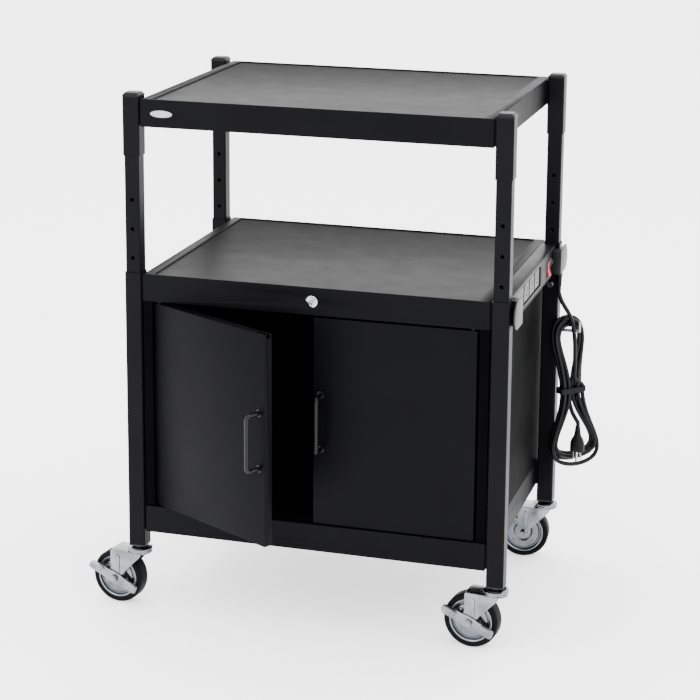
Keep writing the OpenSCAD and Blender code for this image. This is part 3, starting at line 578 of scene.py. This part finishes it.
    @staticmethod
    def moved(piece: bpy.types.Object, matrix: Matrix) -> bpy.types.Object:
        """Puts a piece somewhere and settles its place in its mesh.

        Args:
            piece: The piece.
            matrix: Where it goes.

        Returns:
            The piece.
        """
        Bench.pick(piece)
        piece.matrix_world = matrix
        bpy.ops.object.transform_apply(location=True, rotation=True, scale=True)
        return piece

    @staticmethod
    def joined(name: str, pieces: Sequence[bpy.types.Object]) -> bpy.types.Object:
        """Joins pieces into one.

        Args:
            name: The name of the result.
            pieces: The pieces.

        Returns:
            The joined piece.
        """
        Bench.pick(pieces[0])
        for piece in pieces:
            piece.select_set(True)
        bpy.ops.object.join()
        return Bench.named(name)

    @staticmethod
    def softened(node: bpy.types.Object, name: str, edge: float) -> bpy.types.Object:
        """Copies a node and eases the copy's edges.

        Args:
            node: The carried-over node.
            name: The name of the copy.
            edge: The width of the eased edge, in millimetres.

        Returns:
            The copy.
        """
        Bench.pick(node)
        bpy.ops.object.duplicate()
        piece = bpy.context.object
        piece.parent = None
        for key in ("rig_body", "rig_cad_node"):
            if key in piece:
                del piece[key]
        piece.name = name
        bpy.ops.mesh.customdata_custom_splitnormals_clear()
        bpy.ops.object.mode_set(mode="EDIT")
        bpy.ops.mesh.select_all(action="SELECT")
        bpy.ops.mesh.remove_doubles(threshold=Bench.NODE_DOUBLES)
        bpy.ops.mesh.dissolve_limited(angle_limit=math.radians(Bench.NODE_FLAT))
        bpy.ops.object.mode_set(mode="OBJECT")
        return Bench.eased(piece, edge)


def arc(radius: float, degrees: Iterable[float], x: float = 0.0, y: float = 0.0) -> list[Flat]:
    """Gives the points of an arc at some degrees, in order, with its middle at x and y."""
    turns = [math.radians(angle) for angle in degrees]
    return [(x + radius * math.cos(turn), y + radius * math.sin(turn)) for turn in turns]


def rounded(width: float, height: float, radius: float, steps: int = 5) -> list[Flat]:
    """Gives the corners of a rectangle with round corners, centred.

    Args:
        width: Its width.
        height: Its height.
        radius: The radius of its corners.
        steps: How many facets a corner has.

    Returns:
        The corners in order.
    """
    corners = ((1, 1, 0.0), (-1, 1, 90.0), (-1, -1, 180.0), (1, -1, 270.0))
    made: list[Flat] = []
    for x, y, start in corners:
        degrees = [start + 90.0 * k / steps for k in range(steps + 1)]
        made += arc(radius, degrees, x * (width / 2 - radius), y * (height / 2 - radius))
    return made


def mirrored(half: Sequence[Flat]) -> list[Flat]:
    """Goes on from half an outline with its mirror image below, back towards the start."""
    return [*half, *[(x, -z) for x, z in reversed(half)]]


def standing(outline: Sequence[Flat], y: float = 0.0) -> list[Point]:
    """Stands an outline in millimetres upright at y, in metres."""
    return [(x * MM, y * MM, z * MM) for x, z in outline]


def lying(outline: Sequence[Flat], z: float = 0.0) -> list[Point]:
    """Lays an outline in millimetres flat at the height z, in metres."""
    return [(x * MM, y * MM, z * MM) for x, y in outline]


@dataclass(frozen=True)
class Light:
    """A soft rectangular light, in metres and watts."""

    name: str
    place: Point
    size: Flat
    power: float
    aim: Point = (0.0, 0.0, 0.5)

    def hang(self) -> None:
        """Hangs the light, turned to what it faces."""
        made = bpy.data.lights.new(self.name, "AREA")
        made.shape = "RECTANGLE"
        made.size, made.size_y = self.size
        made.energy = self.power
        piece = bpy.data.objects.new(self.name, made)
        bpy.context.scene.collection.objects.link(piece)
        look = (Vector(self.aim) - Vector(self.place)).to_track_quat("-Z", "Y")
        piece.matrix_world = Matrix.Translation(self.place) @ look.to_matrix().to_4x4()


@dataclass
class Studio:
    """The camera, the lights and the pale floor, in metres and radians."""

    spot: Point = (0.9907, -3.4046, 1.4813)
    yaw: float = 0.2839
    pitch: float = -0.2141
    roll: float = 0.0074
    lens: float = 105.86
    sensor: float = 36.0
    drop: float = -0.2143
    sight: float = 50.0
    floor_size: float = 30.0
    floor_middle: Point = (0.0, 4.0, 0.0)
    floor_shade: tuple[float, ...] = (0.90, 0.90, 0.90, 1.0)
    floor_rough: float = 0.9
    floor_glow: float = 0.95
    air_glow: float = 4.0
    lights: tuple[Light, ...] = (
        Light("side", (3.2, -0.6, 1.6), (2.2, 2.4), 12.0, aim=(0.3, 0.0, 0.5)),
        Light("front", (-1.8, -3.6, 2.6), (1.8, 1.8), 60.0),
        Light("top", (0.0, 0.6, 3.4), (2.4, 2.0), 60.0),
    )

    def camera(self) -> None:
        """Sets the camera at the photograph's angle."""
        level = math.cos(self.pitch)
        ahead = Vector((-math.sin(self.yaw) * level, math.cos(self.yaw) * level, math.sin(self.pitch)))
        right = Vector((math.cos(self.yaw), math.sin(self.yaw), 0.0))
        up = right.cross(ahead)
        leaned = math.cos(self.roll) * right + math.sin(self.roll) * up
        raised = math.cos(self.roll) * up - math.sin(self.roll) * right
        made = bpy.data.cameras.new("camera")
        made.lens = self.lens
        made.sensor_width = self.sensor
        made.shift_y = self.drop
        made.clip_end = self.sight
        piece = bpy.data.objects.new("camera", made)
        bpy.context.scene.collection.objects.link(piece)
        turn = Matrix((leaned, raised, -ahead)).transposed().to_4x4()
        piece.matrix_world = Matrix.Translation(self.spot) @ turn
        bpy.context.scene.camera = piece

    def floor(self) -> None:
        """Lays the pale floor."""
        Bench.clear()
        bpy.ops.mesh.primitive_plane_add(size=self.floor_size, location=self.floor_middle)
        floor = Bench.named("floor")
        plan = Plan("pale_floor")
        plan.feed("Base Color", self.floor_shade)
        plan.feed("Roughness", self.floor_rough)
        plan.feed("Emission Color", WHITE)
        plan.feed("Emission Strength", self.floor_glow)
        floor.data.materials.append(plan.material)

    def air(self) -> None:
        """Fills the room with even white light."""
        world = bpy.data.worlds.new("studio")
        world.use_nodes = True
        sky = world.node_tree.nodes["Background"]
        sky.inputs["Color"].default_value = WHITE
        sky.inputs["Strength"].default_value = self.air_glow
        bpy.context.scene.world = world

    def build(self) -> None:
        """Sets the whole studio."""
        self.camera()
        self.floor()
        self.air()
        for light in self.lights:
            light.hang()
        LOG.info("studio set")


@dataclass
class HungCord:
    """The power cord, in millimetres: down from the unit, a tied hank, and out to the plug."""

    radius: float = 4.0
    facets: int = 3
    loops: int = 4
    rings: int = 96
    cuts: int = 4
    height: float = 283.0
    waist: float = 22.0
    top: float = 52.0
    foot: float = 99.0
    lean: float = 25.0
    turn: float = 44.5
    middle: Point = (354.5, 206.0, 332.6)
    step: float = 8.6
    wider: float = 1.18
    slack: float = 12.0
    crossing: float = 4.0
    gland: Point = (340.0, 190.5, 534.0)
    route: tuple[Point, ...] = (
        (340, 188, 525), (344, 188, 511), (351, 190, 497), (359, 193, 483), (365, 197, 466),
        (368, 201, 447), (370, 204, 424), (370, 208, 400), (370, 211, 376), (370, 213, 355),
    )
    lead: tuple[Point, ...] = ((362, 217, 312), (364, 212, 300), (369, 208, 289), (375, 205, 280))
    plug: Point = (380.0, 205.0, 264.0)
    line: list[Vector] = field(default_factory=list)

    def loop_point(self, laid: float) -> Vector:
        """Gives a point of the hank.

        Args:
            laid: How many loops have been laid.

        Returns:
            The point, in millimetres.
        """
        half = self.loops / 2
        angle = math.radians(90.0 + 360.0 * laid)
        cosine = math.cos(angle)
        inner = half * self.step - abs(half - laid) * self.step
        ramp = max(-1.0, min(1.0, (laid - half) * self.crossing))
        layer = ramp * (3.0 - ramp * ramp) / 2.0
        full = self.top if cosine > 0 else self.foot
        sag = self.slack * max(0.0, 1.0 - inner / self.step) ** 2 if cosine < 0 else 0.0
        across = math.sin(angle) * (self.waist - inner * self.wider + full * cosine * cosine)
        across += self.lean * (1.0 - cosine) / 2.0
        rise = Vector((0.0, 0.0, (self.height / 2 - inner + sag) * cosine))
        turn = math.radians(self.turn)
        along = Vector((math.cos(turn), math.sin(turn), 0.0))
        behind = Vector((-math.sin(turn), math.cos(turn), 0.0))
        return Vector(self.middle) + across * along + layer * self.step / 2 * behind + rise

    def smooth(self, points: Sequence[Vector]) -> list[Vector]:
        """Draws a smooth line through points.

        Args:
            points: The points.

        Returns:
            The points of the smooth line.
        """
        made = []
        last = len(points) - 1
        for i in range(last):
            a, b = points[max(i - 1, 0)], points[i]
            c, d = points[i + 1], points[min(i + 2, last)]
            bend = 2 * a - 5 * b + 4 * c - d
            twist = 3 * b - a - 3 * c + d
            for k in range(self.cuts):
                t = k / self.cuts
                made.append(0.5 * (2 * b + (c - a) * t + bend * t * t + twist * t * t * t))
        return [*made, points[-1]]

    def centre(self) -> list[Vector]:
        """Traces the whole cord.

        Returns:
            The points of its centre line, in metres.
        """
        hank = [self.loop_point(i / self.rings) for i in range(self.loops * self.rings + 1)]
        start = (hank[1] - hank[0]).normalized()
        end = (hank[-1] - hank[-2]).normalized()
        thick = 2 * self.radius
        gland, plug = Vector(self.gland), Vector(self.plug)
        drop = Vector((0.0, 0.0, thick))
        down = [gland, gland - drop, *map(Vector, self.route), hank[0] - thick * start, hank[0]]
        out = [hank[-1], hank[-1] + thick * end, *map(Vector, self.lead), plug + drop, plug]
        whole = self.smooth(down)[:-1] + hank + self.smooth(out)[1:]
        return [point * MM for point in whole]

    def build(self, paint: Paintbox) -> bpy.types.Object:
        """Args:
            paint: The finishes.

        Returns:
            The cord.
        """
        self.line = self.centre()
        curve = bpy.data.curves.new("hung_cord", "CURVE")
        curve.dimensions = "3D"
        curve.bevel_depth = self.radius * MM
        curve.bevel_resolution = self.facets
        curve.use_fill_caps = True
        spline = curve.splines.new("POLY")
        spline.points.add(len(self.line) - 1)
        for spot, place in zip(self.line, spline.points):
            place.co = (*spot, 1.0)
        spline.use_smooth = True
        piece = bpy.data.objects.new("hung_cord", curve)
        bpy.context.scene.collection.objects.link(piece)
        paint.coat(piece, "cord_rubber")
        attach(piece, "cart")
        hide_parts("power_cord", "cord_hank", "plug_lead")
        return piece

    def length(self) -> float:
        """Gives the length of the cord in metres."""
        return sum((b - a).length for a, b in zip(self.line, self.line[1:]))


@dataclass
class PlugDress:
    """The moulded plug on the end of the cord, in millimetres."""

    spot: Point = (380.0, 205.0, 264.0)
    neck: float = 14.0
    neck_top: float = 4.5
    neck_foot: float = 6.3
    neck_facets: int = 32
    neck_edge: float = 0.2
    ribs: int = 5
    rib_first: float = 1.0
    rib_pitch: float = 2.5
    rib_radius: float = 4.9
    rib_wider: float = 0.28
    rib_deep: float = 0.7
    rib_drops: Triple = (1.4, 1.7, 2.3)
    sections: tuple[Triple, ...] = (
        (-13.0, 12.0, 11.6), (-17.0, 14.0, 12.6), (-24.0, 22.0, 15.6), (-29.0, 25.5, 16.6),
        (-34.0, 26.6, 17.0), (-45.6, 27.0, 17.0), (-46.8, 25.4, 15.4),
    )
    roundness: float = 0.42
    corner_facets: int = 6
    smooth_angle: float = 50.0

    def ribbed(self, name: str) -> bpy.types.Object:
        """Makes the ribbed neck.

        Args:
            name: The name of the piece.

        Returns:
            The neck, under the origin.
        """
        profile = [(0.0, 0.0), (self.neck_top, 0.0)]
        for k in range(self.ribs):
            z = -self.rib_first - k * self.rib_pitch
            wide = self.rib_radius + self.rib_wider * k
            thin = wide - self.rib_deep
            under, slope, gap = (z - drop for drop in self.rib_drops)
            profile += [(wide, z), (wide, under), (thin, slope), (thin, gap)]
        profile += [(self.neck_foot, -self.neck), (0.0, -self.neck)]
        return Bench.turned(name, profile, self.neck_facets, self.neck_edge)

    def grip(self, name: str) -> bpy.types.Object:
        """Makes the grip from its sections, each its height, width and depth.

        Args:
            name: The name of the piece.

        Returns:
            The grip, under the origin.
        """
        height, wide, deep = self.sections[0]
        section = rounded(wide, deep, deep * self.roundness, self.corner_facets)
        piece = Bench.outline(name, lying(section, height))
        for before, after in zip(self.sections, self.sections[1:]):
            move = (0, 0, (after[0] - before[0]) * MM)
            bpy.ops.mesh.extrude_region_move(TRANSFORM_OT_translate={"value": move})
            bpy.ops.transform.resize(
                value=(after[1] / before[1], after[2] / before[2], 1.0),
                center_override=(0.0, 0.0, after[0] * MM),
            )
        Bench.shut()
        return Bench.eased(piece, 0.0, angle=self.smooth_angle)

    def build(self, paint: Paintbox) -> bpy.types.Object:
        """Makes the plug's grip and its ribbed neck.

        Args:
            paint: The finishes.

        Returns:
            The plug.
        """
        place = Matrix.Translation(Vector(self.spot) * MM)
        parts = (self.ribbed("plug_neck"), self.grip("plug_grip"))
        plug = Bench.joined("plug", [Bench.moved(part, place) for part in parts])
        paint.coat(plug, "plug_rubber")
        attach(plug, "cart")
        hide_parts("plug_body")
        return plug


class Corner(Enum):
    """The four corners of the cart, with whether a brake is on the caster."""

    FRONT_LEFT = ("front_left", True)
    FRONT_RIGHT = ("front_right", True)
    BACK_LEFT = ("back_left", False)
    BACK_RIGHT = ("back_right", False)


@dataclass(frozen=True)
class Fork:
    """The stamped fork of a caster, in millimetres and degrees, under its swivel."""

    inner: float = 17.7
    plate: float = 2.5
    trail: float = 40.0
    axle: float = 48.0
    roof: float = 100.0
    boss: float = 9.5
    boss_turns: range = range(0, -181, -20)
    side_back: tuple[Flat, ...] = ((0.0, 52.0), (0.0, 96.0), (2.0, 100.0))
    side_front: tuple[Flat, ...] = ((52.0, 100.0), (49.0, 93.0), (9.0, 51.0))
    side_edge: float = 0.7
    rib: tuple[Flat, ...] = (
        (4.6, 58.0), (0.8, 88.0), (2.6, 91.6), (7.4, 91.6), (9.4, 88.0), (9.4, 58.0),
    )
    rib_sink: float = 0.4
    rib_proud: float = 2.2
    rib_edge: float = 1.4
    crown: float = 21.6
    crown_turns: range = range(-60, 61, 8)
    crown_start: float = 6.0
    chamfer: float = 7.0
    roof_edge: float = 0.9
    race: tuple[Flat, ...] = (
        (5.6, 100.0), (21.0, 100.0), (21.9, 101.2), (22.0, 102.4), (21.0, 104.0), (5.6, 104.0),
        (5.6, 100.0),
    )
    race_facets: int = 48
    race_edge: float = 0.3

    def outer(self) -> float:
        """Gives the distance of a side's outer face from the middle."""
        return self.inner + self.plate

    def shape(self, name: str) -> bpy.types.Object:
        """Makes the fork: roof, two ribbed sides and the lower race.

        Args:
            name: The name of the piece.

        Returns:
            The fork, under the origin of the swivel.
        """
        outer = self.outer()
        back = -(self.trail + self.boss)
        side = [(back + x, z) for x, z in self.side_back]
        side += [(x - self.trail, z) for x, z in self.side_front]
        side += arc(self.boss, self.boss_turns, -self.trail, self.axle)
        rib = [(x - self.trail, z) for x, z in self.rib]
        pieces = []
        for sign in (-1.0, 1.0):
            wall = standing(side, sign * self.inner)
            pieces.append(Bench.plate("side", wall, (0.0, sign * self.plate, 0.0), self.side_edge))
            ridge = standing(rib, sign * outer - sign * self.rib_sink)
            rise = (0.0, sign * self.rib_proud, 0.0)
            pieces.append(Bench.plate("rib", ridge, rise, self.rib_edge, 3))
        start = back + self.chamfer
        roof = [(start, -outer), (self.crown_start, -outer), *arc(self.crown, self.crown_turns)]
        roof += [(self.crown_start, outer), (start, outer)]
        roof += [(back, outer - self.chamfer), (back, -outer + self.chamfer)]
        ceiling = lying(roof, self.roof - self.plate)
        pieces.append(Bench.plate("roof", ceiling, (0.0, 0.0, self.plate), self.roof_edge, 3))
        pieces.append(Bench.turned("race", self.race, self.race_facets, self.race_edge))
        return Bench.joined(name, pieces)


@dataclass(frozen=True)
class Wheel:
    """A caster's pressed disc and tyre, in millimetres and degrees, by corners of their profiles.

    A corner of the disc or a rivet is its radius and its depth below the hub's face. A corner of
    the tyre is its radius and its share of the tyre's half width.
    """

    face: float = 16.7
    pressing: tuple[Flat, ...] = (
        (4.1, 0.0), (7.6, 0.0), (8.6, 0.8), (9.6, 5.4), (11.4, 6.6), (14.6, 7.6), (16.4, 7.0),
        (18.0, 5.6), (19.4, 5.2), (28.4, 5.2), (29.6, 5.8), (30.6, 8.2), (31.6, 8.8),
        (33.0, 8.8), (34.0, 7.8), (35.0, 3.6), (36.0, 2.8), (37.2, 2.6), (38.5, 3.4),
    )
    disc_facets: int = 72
    rivet: tuple[Flat, ...] = ((0.0, 3.6), (1.4, 3.8), (2.4, 4.4), (2.9, 5.4))
    rivet_facets: int = 14
    rivet_ring: float = 24.6
    rivet_turns: tuple[int, ...] = (45, 135, 225, 315)
    tyre: float = 30.0
    shoulder: tuple[Flat, ...] = (
        (38.5, 0.90), (39.6, 0.96), (41.0, 0.985), (43.2, 1.0), (44.2, 0.96),
        (45.2, 0.955), (46.4, 0.90), (47.3, 0.80), (48.0, 0.66), (48.0, 0.30),
    )
    tyre_facets: int = 96

    def disc(self, name: str) -> bpy.types.Object:
        """Makes the pressed disc with its rings, its hub and its rivets.

        Args:
            name: The name of the piece.

        Returns:
            The disc, about the Z axis.
        """
        half = [(x, self.face - depth) for x, depth in self.pressing]
        dome = mirrored([(x, self.face - depth) for x, depth in self.rivet])
        pieces = [Bench.turned("disc", [*mirrored(half), half[0]], self.disc_facets)]
        for degrees in self.rivet_turns:
            rivet = Bench.turned("rivet", dome, self.rivet_facets)
            turn = Matrix.Rotation(math.radians(degrees), 4, "Z")
            out = Matrix.Translation((self.rivet_ring * MM, 0.0, 0.0))
            pieces.append(Bench.moved(rivet, turn @ out))
        return Bench.joined(name, pieces)

    def tread(self, name: str) -> bpy.types.Object:
        """Makes the tyre with its round shoulders.

        Args:
            name: The name of the piece.

        Returns:
            The tyre, about the Z axis.
        """
        half = [(x, self.tyre / 2 * share) for x, share in self.shoulder]
        return Bench.turned(name, [*mirrored(half), half[0]], self.tyre_facets)


@dataclass(frozen=True)
class Lever:
    """The see-saw brake lever of a front caster, in millimetres and degrees."""

    thick: float = 2.0
    gap: float = 0.3
    slope: float = 22.0
    strip: tuple[Flat, ...] = (
        (-51.6, 4.0), (-50.4, 7.4), (-47.0, 8.8), (-15.0, 8.8), (-8.0, 10.4),
        (8.0, 10.4), (15.0, 8.8), (41.0, 8.8), (44.4, 7.4), (45.6, 4.0),
    )
    strip_edge: float = 0.6
    dish: tuple[Flat, ...] = (
        (4.4, 1.9), (8.8, 1.9), (8.2, 2.5), (6.6, 2.6), (5.6, 2.2), (4.4, 2.2), (4.4, 1.9),
    )
    dish_facets: int = 40
    pad_middles: tuple[float, ...] = (-39.0, 33.0)
    pad_size: Triple = (25.4, 16.0, 6.0)
    pad_out: float = 6.5
    pad_root: float = 0.6
    pad_rise: float = 7.0
    pad_curl: float = 32.0
    pad_edge: float = 0.7

    def shape(self, name: str) -> bpy.types.Object:
        """Makes the lever with its dish and its two turned-out toe pads.

        Args:
            name: The name of the piece.

        Returns:
            The lever, about the axle at the origin, with the axle along Y.
        """
        strip = standing(mirrored(self.strip))
        dish = Bench.turned("dish", self.dish, self.dish_facets)
        pieces = [
            Bench.plate("strip", strip, (0.0, -self.thick, 0.0), self.strip_edge),
            Bench.moved(dish, QUARTER_TURN),
        ]
        root = Matrix.Translation((0.0, -self.thick / 2 * MM, self.pad_rise * MM))
        curl = root @ Matrix.Rotation(math.radians(self.pad_curl), 4, "X")
        for middle in self.pad_middles:
            corners = [(middle + x, -self.pad_out + y) for x, y in rounded(*self.pad_size)]
            flat = lying([(x, min(y, self.pad_root)) for x, y in corners])
            pad = Bench.plate("pad", flat, (0.0, 0.0, self.thick), self.pad_edge, 3)
            pieces.append(Bench.moved(pad, curl))
        return Bench.joined(name, pieces)


@dataclass
class CasterDress:
    """A swivel caster: its fork, its wheel and, at the front, its brake lever."""

    fork: Fork = Fork()
    wheel: Wheel = Wheel()
    lever: Lever = Lever()

    def build(self, corner: Corner, joints: dict[str, dict[str, object]], paint: Paintbox) -> None:
        """Makes one caster where its joints are.

        Args:
            corner: Which corner it is at.
            joints: The joints by name.
            paint: The finishes.
        """
        where, braked = corner.value
        swivel, roll = joints[f"swivel_{where}"], joints[f"roll_{where}"]
        axle, hub = Vector(roll["axis"]), Vector(roll["pos_m"])
        heading = Matrix.Rotation(math.atan2(-axle.x, axle.y), 4, "Z")
        leg = Matrix.Translation((swivel["pos_m"][0], swivel["pos_m"][1], 0.0)) @ heading
        spin = Matrix.Translation(hub) @ heading @ QUARTER_TURN
        fork = self.fork.shape(f"fork_stamped_{where}")
        disc = self.wheel.disc(f"disc_pressed_{where}")
        tread = self.wheel.tread(f"tyre_tread_{where}")
        made = [
            (fork, leg, "zinc_plate", f"caster_{where}", f"fork_{where}"),
            (disc, spin, "disc_metal", f"wheel_{where}", f"hub_{where}"),
            (tread, spin, "tyre_rubber", f"wheel_{where}", f"tyre_{where}"),
        ]
        if braked:
            lever = self.lever.shape(f"brake_lever_{where}")
            out = Matrix.Translation((0.0, -(self.fork.outer() + self.lever.gap) * MM, 0.0))
            slope = Matrix.Rotation(math.radians(self.lever.slope), 4, "Y")
            place = Matrix.Translation(hub) @ heading @ out @ slope
            body = f"brake_{where.removeprefix('front_')}"
            made.append((lever, place, "zinc_plate", body, f"brake_{where}"))
        for piece, place, slot, body, node in made:
            Bench.moved(piece, place)
            paint.coat(piece, slot)
            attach(piece, body)
            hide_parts(node)
        LOG.info("caster %s made", where)


@dataclass
class Seams:
    """The welded seams at the corners of the shelves and under the cabinet's panels, in millimetres."""

    corner_in: float = 3.9
    corner_wide: float = 2.9
    corner_deep: float = 2.25
    corner_sink: float = 0.05
    corner_foot: float = 0.3
    corner_head: float = 1.0
    back_side: float = 22.5
    back_in: float = 3.8
    back_wide: float = 1.0
    back_under: float = 2.6
    back_over: float = 0.4
    side_in: float = 0.3
    side_wide: float = 1.6
    side_under: float = 1.6
    side_over: float = 0.6
    side_end: float = 0.5

    def corners(self, low: Vector, high: Vector) -> list[tuple[Point, Point]]:
        """Gives the four upright seams of a shelf.

        Args:
            low: The lowest corner of the shelf.
            high: The highest corner of the shelf.

        Returns:
            The lowest and highest corner of each seam.
        """
        wide, deep = self.corner_wide, self.corner_deep
        foot, head = low.z + self.corner_foot, high.z - self.corner_head
        across = (low.x + self.corner_in, high.x - self.corner_in - wide)
        along = (low.y + self.corner_sink, high.y - self.corner_sink - deep)
        return [((x, y, foot), (x + wide, y + deep, head)) for x in across for y in along]

    def back_foot(self, low: Vector, high: Vector) -> tuple[Point, Point]:
        """Gives the seam between the deck of the bottom shelf and the back panel.

        Args:
            low: The lowest corner of the shelf.
            high: The highest corner of the shelf.

        Returns:
            The lowest and highest corner of the seam.
        """
        y = high.y - self.back_in
        return (
            (low.x + self.back_side, y - self.back_wide, high.z - self.back_under),
            (high.x - self.back_side, y, high.z + self.back_over),
        )

    def side_foot(self, low: Vector, high: Vector) -> tuple[Point, Point]:
        """Gives the seam under a side panel, over the rounded fold of the bottom shelf.

        Args:
            low: The lowest corner of the panel.
            high: The highest corner of the panel.

        Returns:
            The lowest and highest corner of the seam.
        """
        x = high.x - self.side_in - self.side_wide if high.x > 0 else low.x + self.side_in
        return (
            (x, low.y + self.side_end, low.z - self.side_under),
            (x + self.side_wide, high.y - self.side_end, low.z + self.side_over),
        )

    def close(self, node: str, piece: bpy.types.Object) -> bpy.types.Object:
        """Joins the seams of a node to its eased copy.

        Args:
            node: The name of the node.
            piece: The eased copy.

        Returns:
            The copy, with its seams.
        """
        spots = [vertex.co / MM for vertex in piece.data.vertices]
        low = Vector([min(spot[k] for spot in spots) for k in range(3)])
        high = Vector([max(spot[k] for spot in spots) for k in range(3)])
        rows: list[tuple[Point, Point]] = []
        if node.endswith("shelf"):
            rows += self.corners(low, high)
        if node == "bottom_shelf":
            rows.append(self.back_foot(low, high))
        if node.startswith("side_panel"):
            rows.append(self.side_foot(low, high))
        if not rows:
            return piece
        welds = [Bench.block("seam", *(tuple(x * MM for x in corner) for corner in row)) for row in rows]
        return Bench.joined(piece.name, [piece, *welds])


@dataclass
class SheetDress:
    """The folded sheet and moulded pieces, with the eased edges that catch the light."""

    edges: dict[str, float] = field(
        default_factory=lambda: {
            "top_shelf": 0.5, "middle_shelf": 0.5, "bottom_shelf": 0.5, "door_left": 0.55, "door_right": 0.55,
            "side_panel_left": 0.4, "side_panel_right": 0.4, "unit_housing": 0.5, "wrap_ears": 0.9,
            "post_caps": 0.7, "lock_barrel": 0.3, "lock_plug": 0.25, "outlet_strip": 0.3, "switch_frame": 0.3,
            "rocker_switch": 0.5, "cord_tie": 0.5, "cord_gland": 0.3,
        }
    )

    def build(self, frame: dict[str, object], paint: Paintbox) -> None:
        """Makes the eased copies.

        Args:
            frame: The loaded frame.
            paint: The finishes.
        """
        bodies = frame["record"]["behaviour"]["bodies"]
        home = {node: body for body, members in bodies.items() for node in members}
        seams = Seams()
        for node, edge in self.edges.items():
            piece = seams.close(node, Bench.softened(frame["nodes"][node], f"eased_{node}", edge))
            slot = paint.node_slot[node]
            paint.coat(piece, slot)
            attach(piece, home[node])
            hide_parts(node)
        LOG.info("%d sheet pieces eased", len(self.edges))


@dataclass
class Badge:
    """The bare oval plate on the front edge of the top shelf, in millimetres."""

    spot: Point = (-265.6, -231.5, 887.1)
    width: float = 39.0
    height: float = 12.0
    thick: float = 1.2
    field_share: float = 0.7
    rim_share: float = 0.8
    rim: Triple = (0.9, 0.7, 0.2)
    facets: int = 72

    def build(self, paint: Paintbox) -> None:
        """Makes the plate.

        Args:
            paint: The finishes.
        """
        radius, sunk = self.height / 2, self.thick * self.field_share
        foot, crest, fall = (radius - inset for inset in self.rim)
        profile = [(0.0, sunk), (foot, sunk), (crest, self.thick), (fall, self.thick)]
        profile += [(radius, self.thick * self.rim_share), (radius, 0.0), (0.0, 0.0)]
        plate = Bench.turned("oval_plate", profile, self.facets)
        wide = Matrix.Diagonal((self.width / self.height, 1.0, 1.0, 1.0))
        Bench.moved(plate, Matrix.Translation(Vector(self.spot) * MM) @ QUARTER_TURN @ wide)
        paint.coat(plate, "bezel_metal")
        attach(plate, "top")


def main() -> None:
    """Builds the cart's looks round its frame."""
    logging.basicConfig(level=logging.INFO)
    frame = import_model()
    Studio().build()
    paint = Paintbox(frame["record"])
    paint.coat_nodes(frame["nodes"])
    cord = HungCord()
    flex = cord.build(paint)
    plug = PlugDress().build(paint)
    SheetDress().build(frame, paint)
    Badge().build(paint)
    joints = {joint["name"]: joint for joint in frame["joints"]}
    caster = CasterDress()
    for corner in Corner:
        caster.build(corner, joints, paint)
    cord.length()
    Bench.clear()


if __name__ == "__main__":
    main()
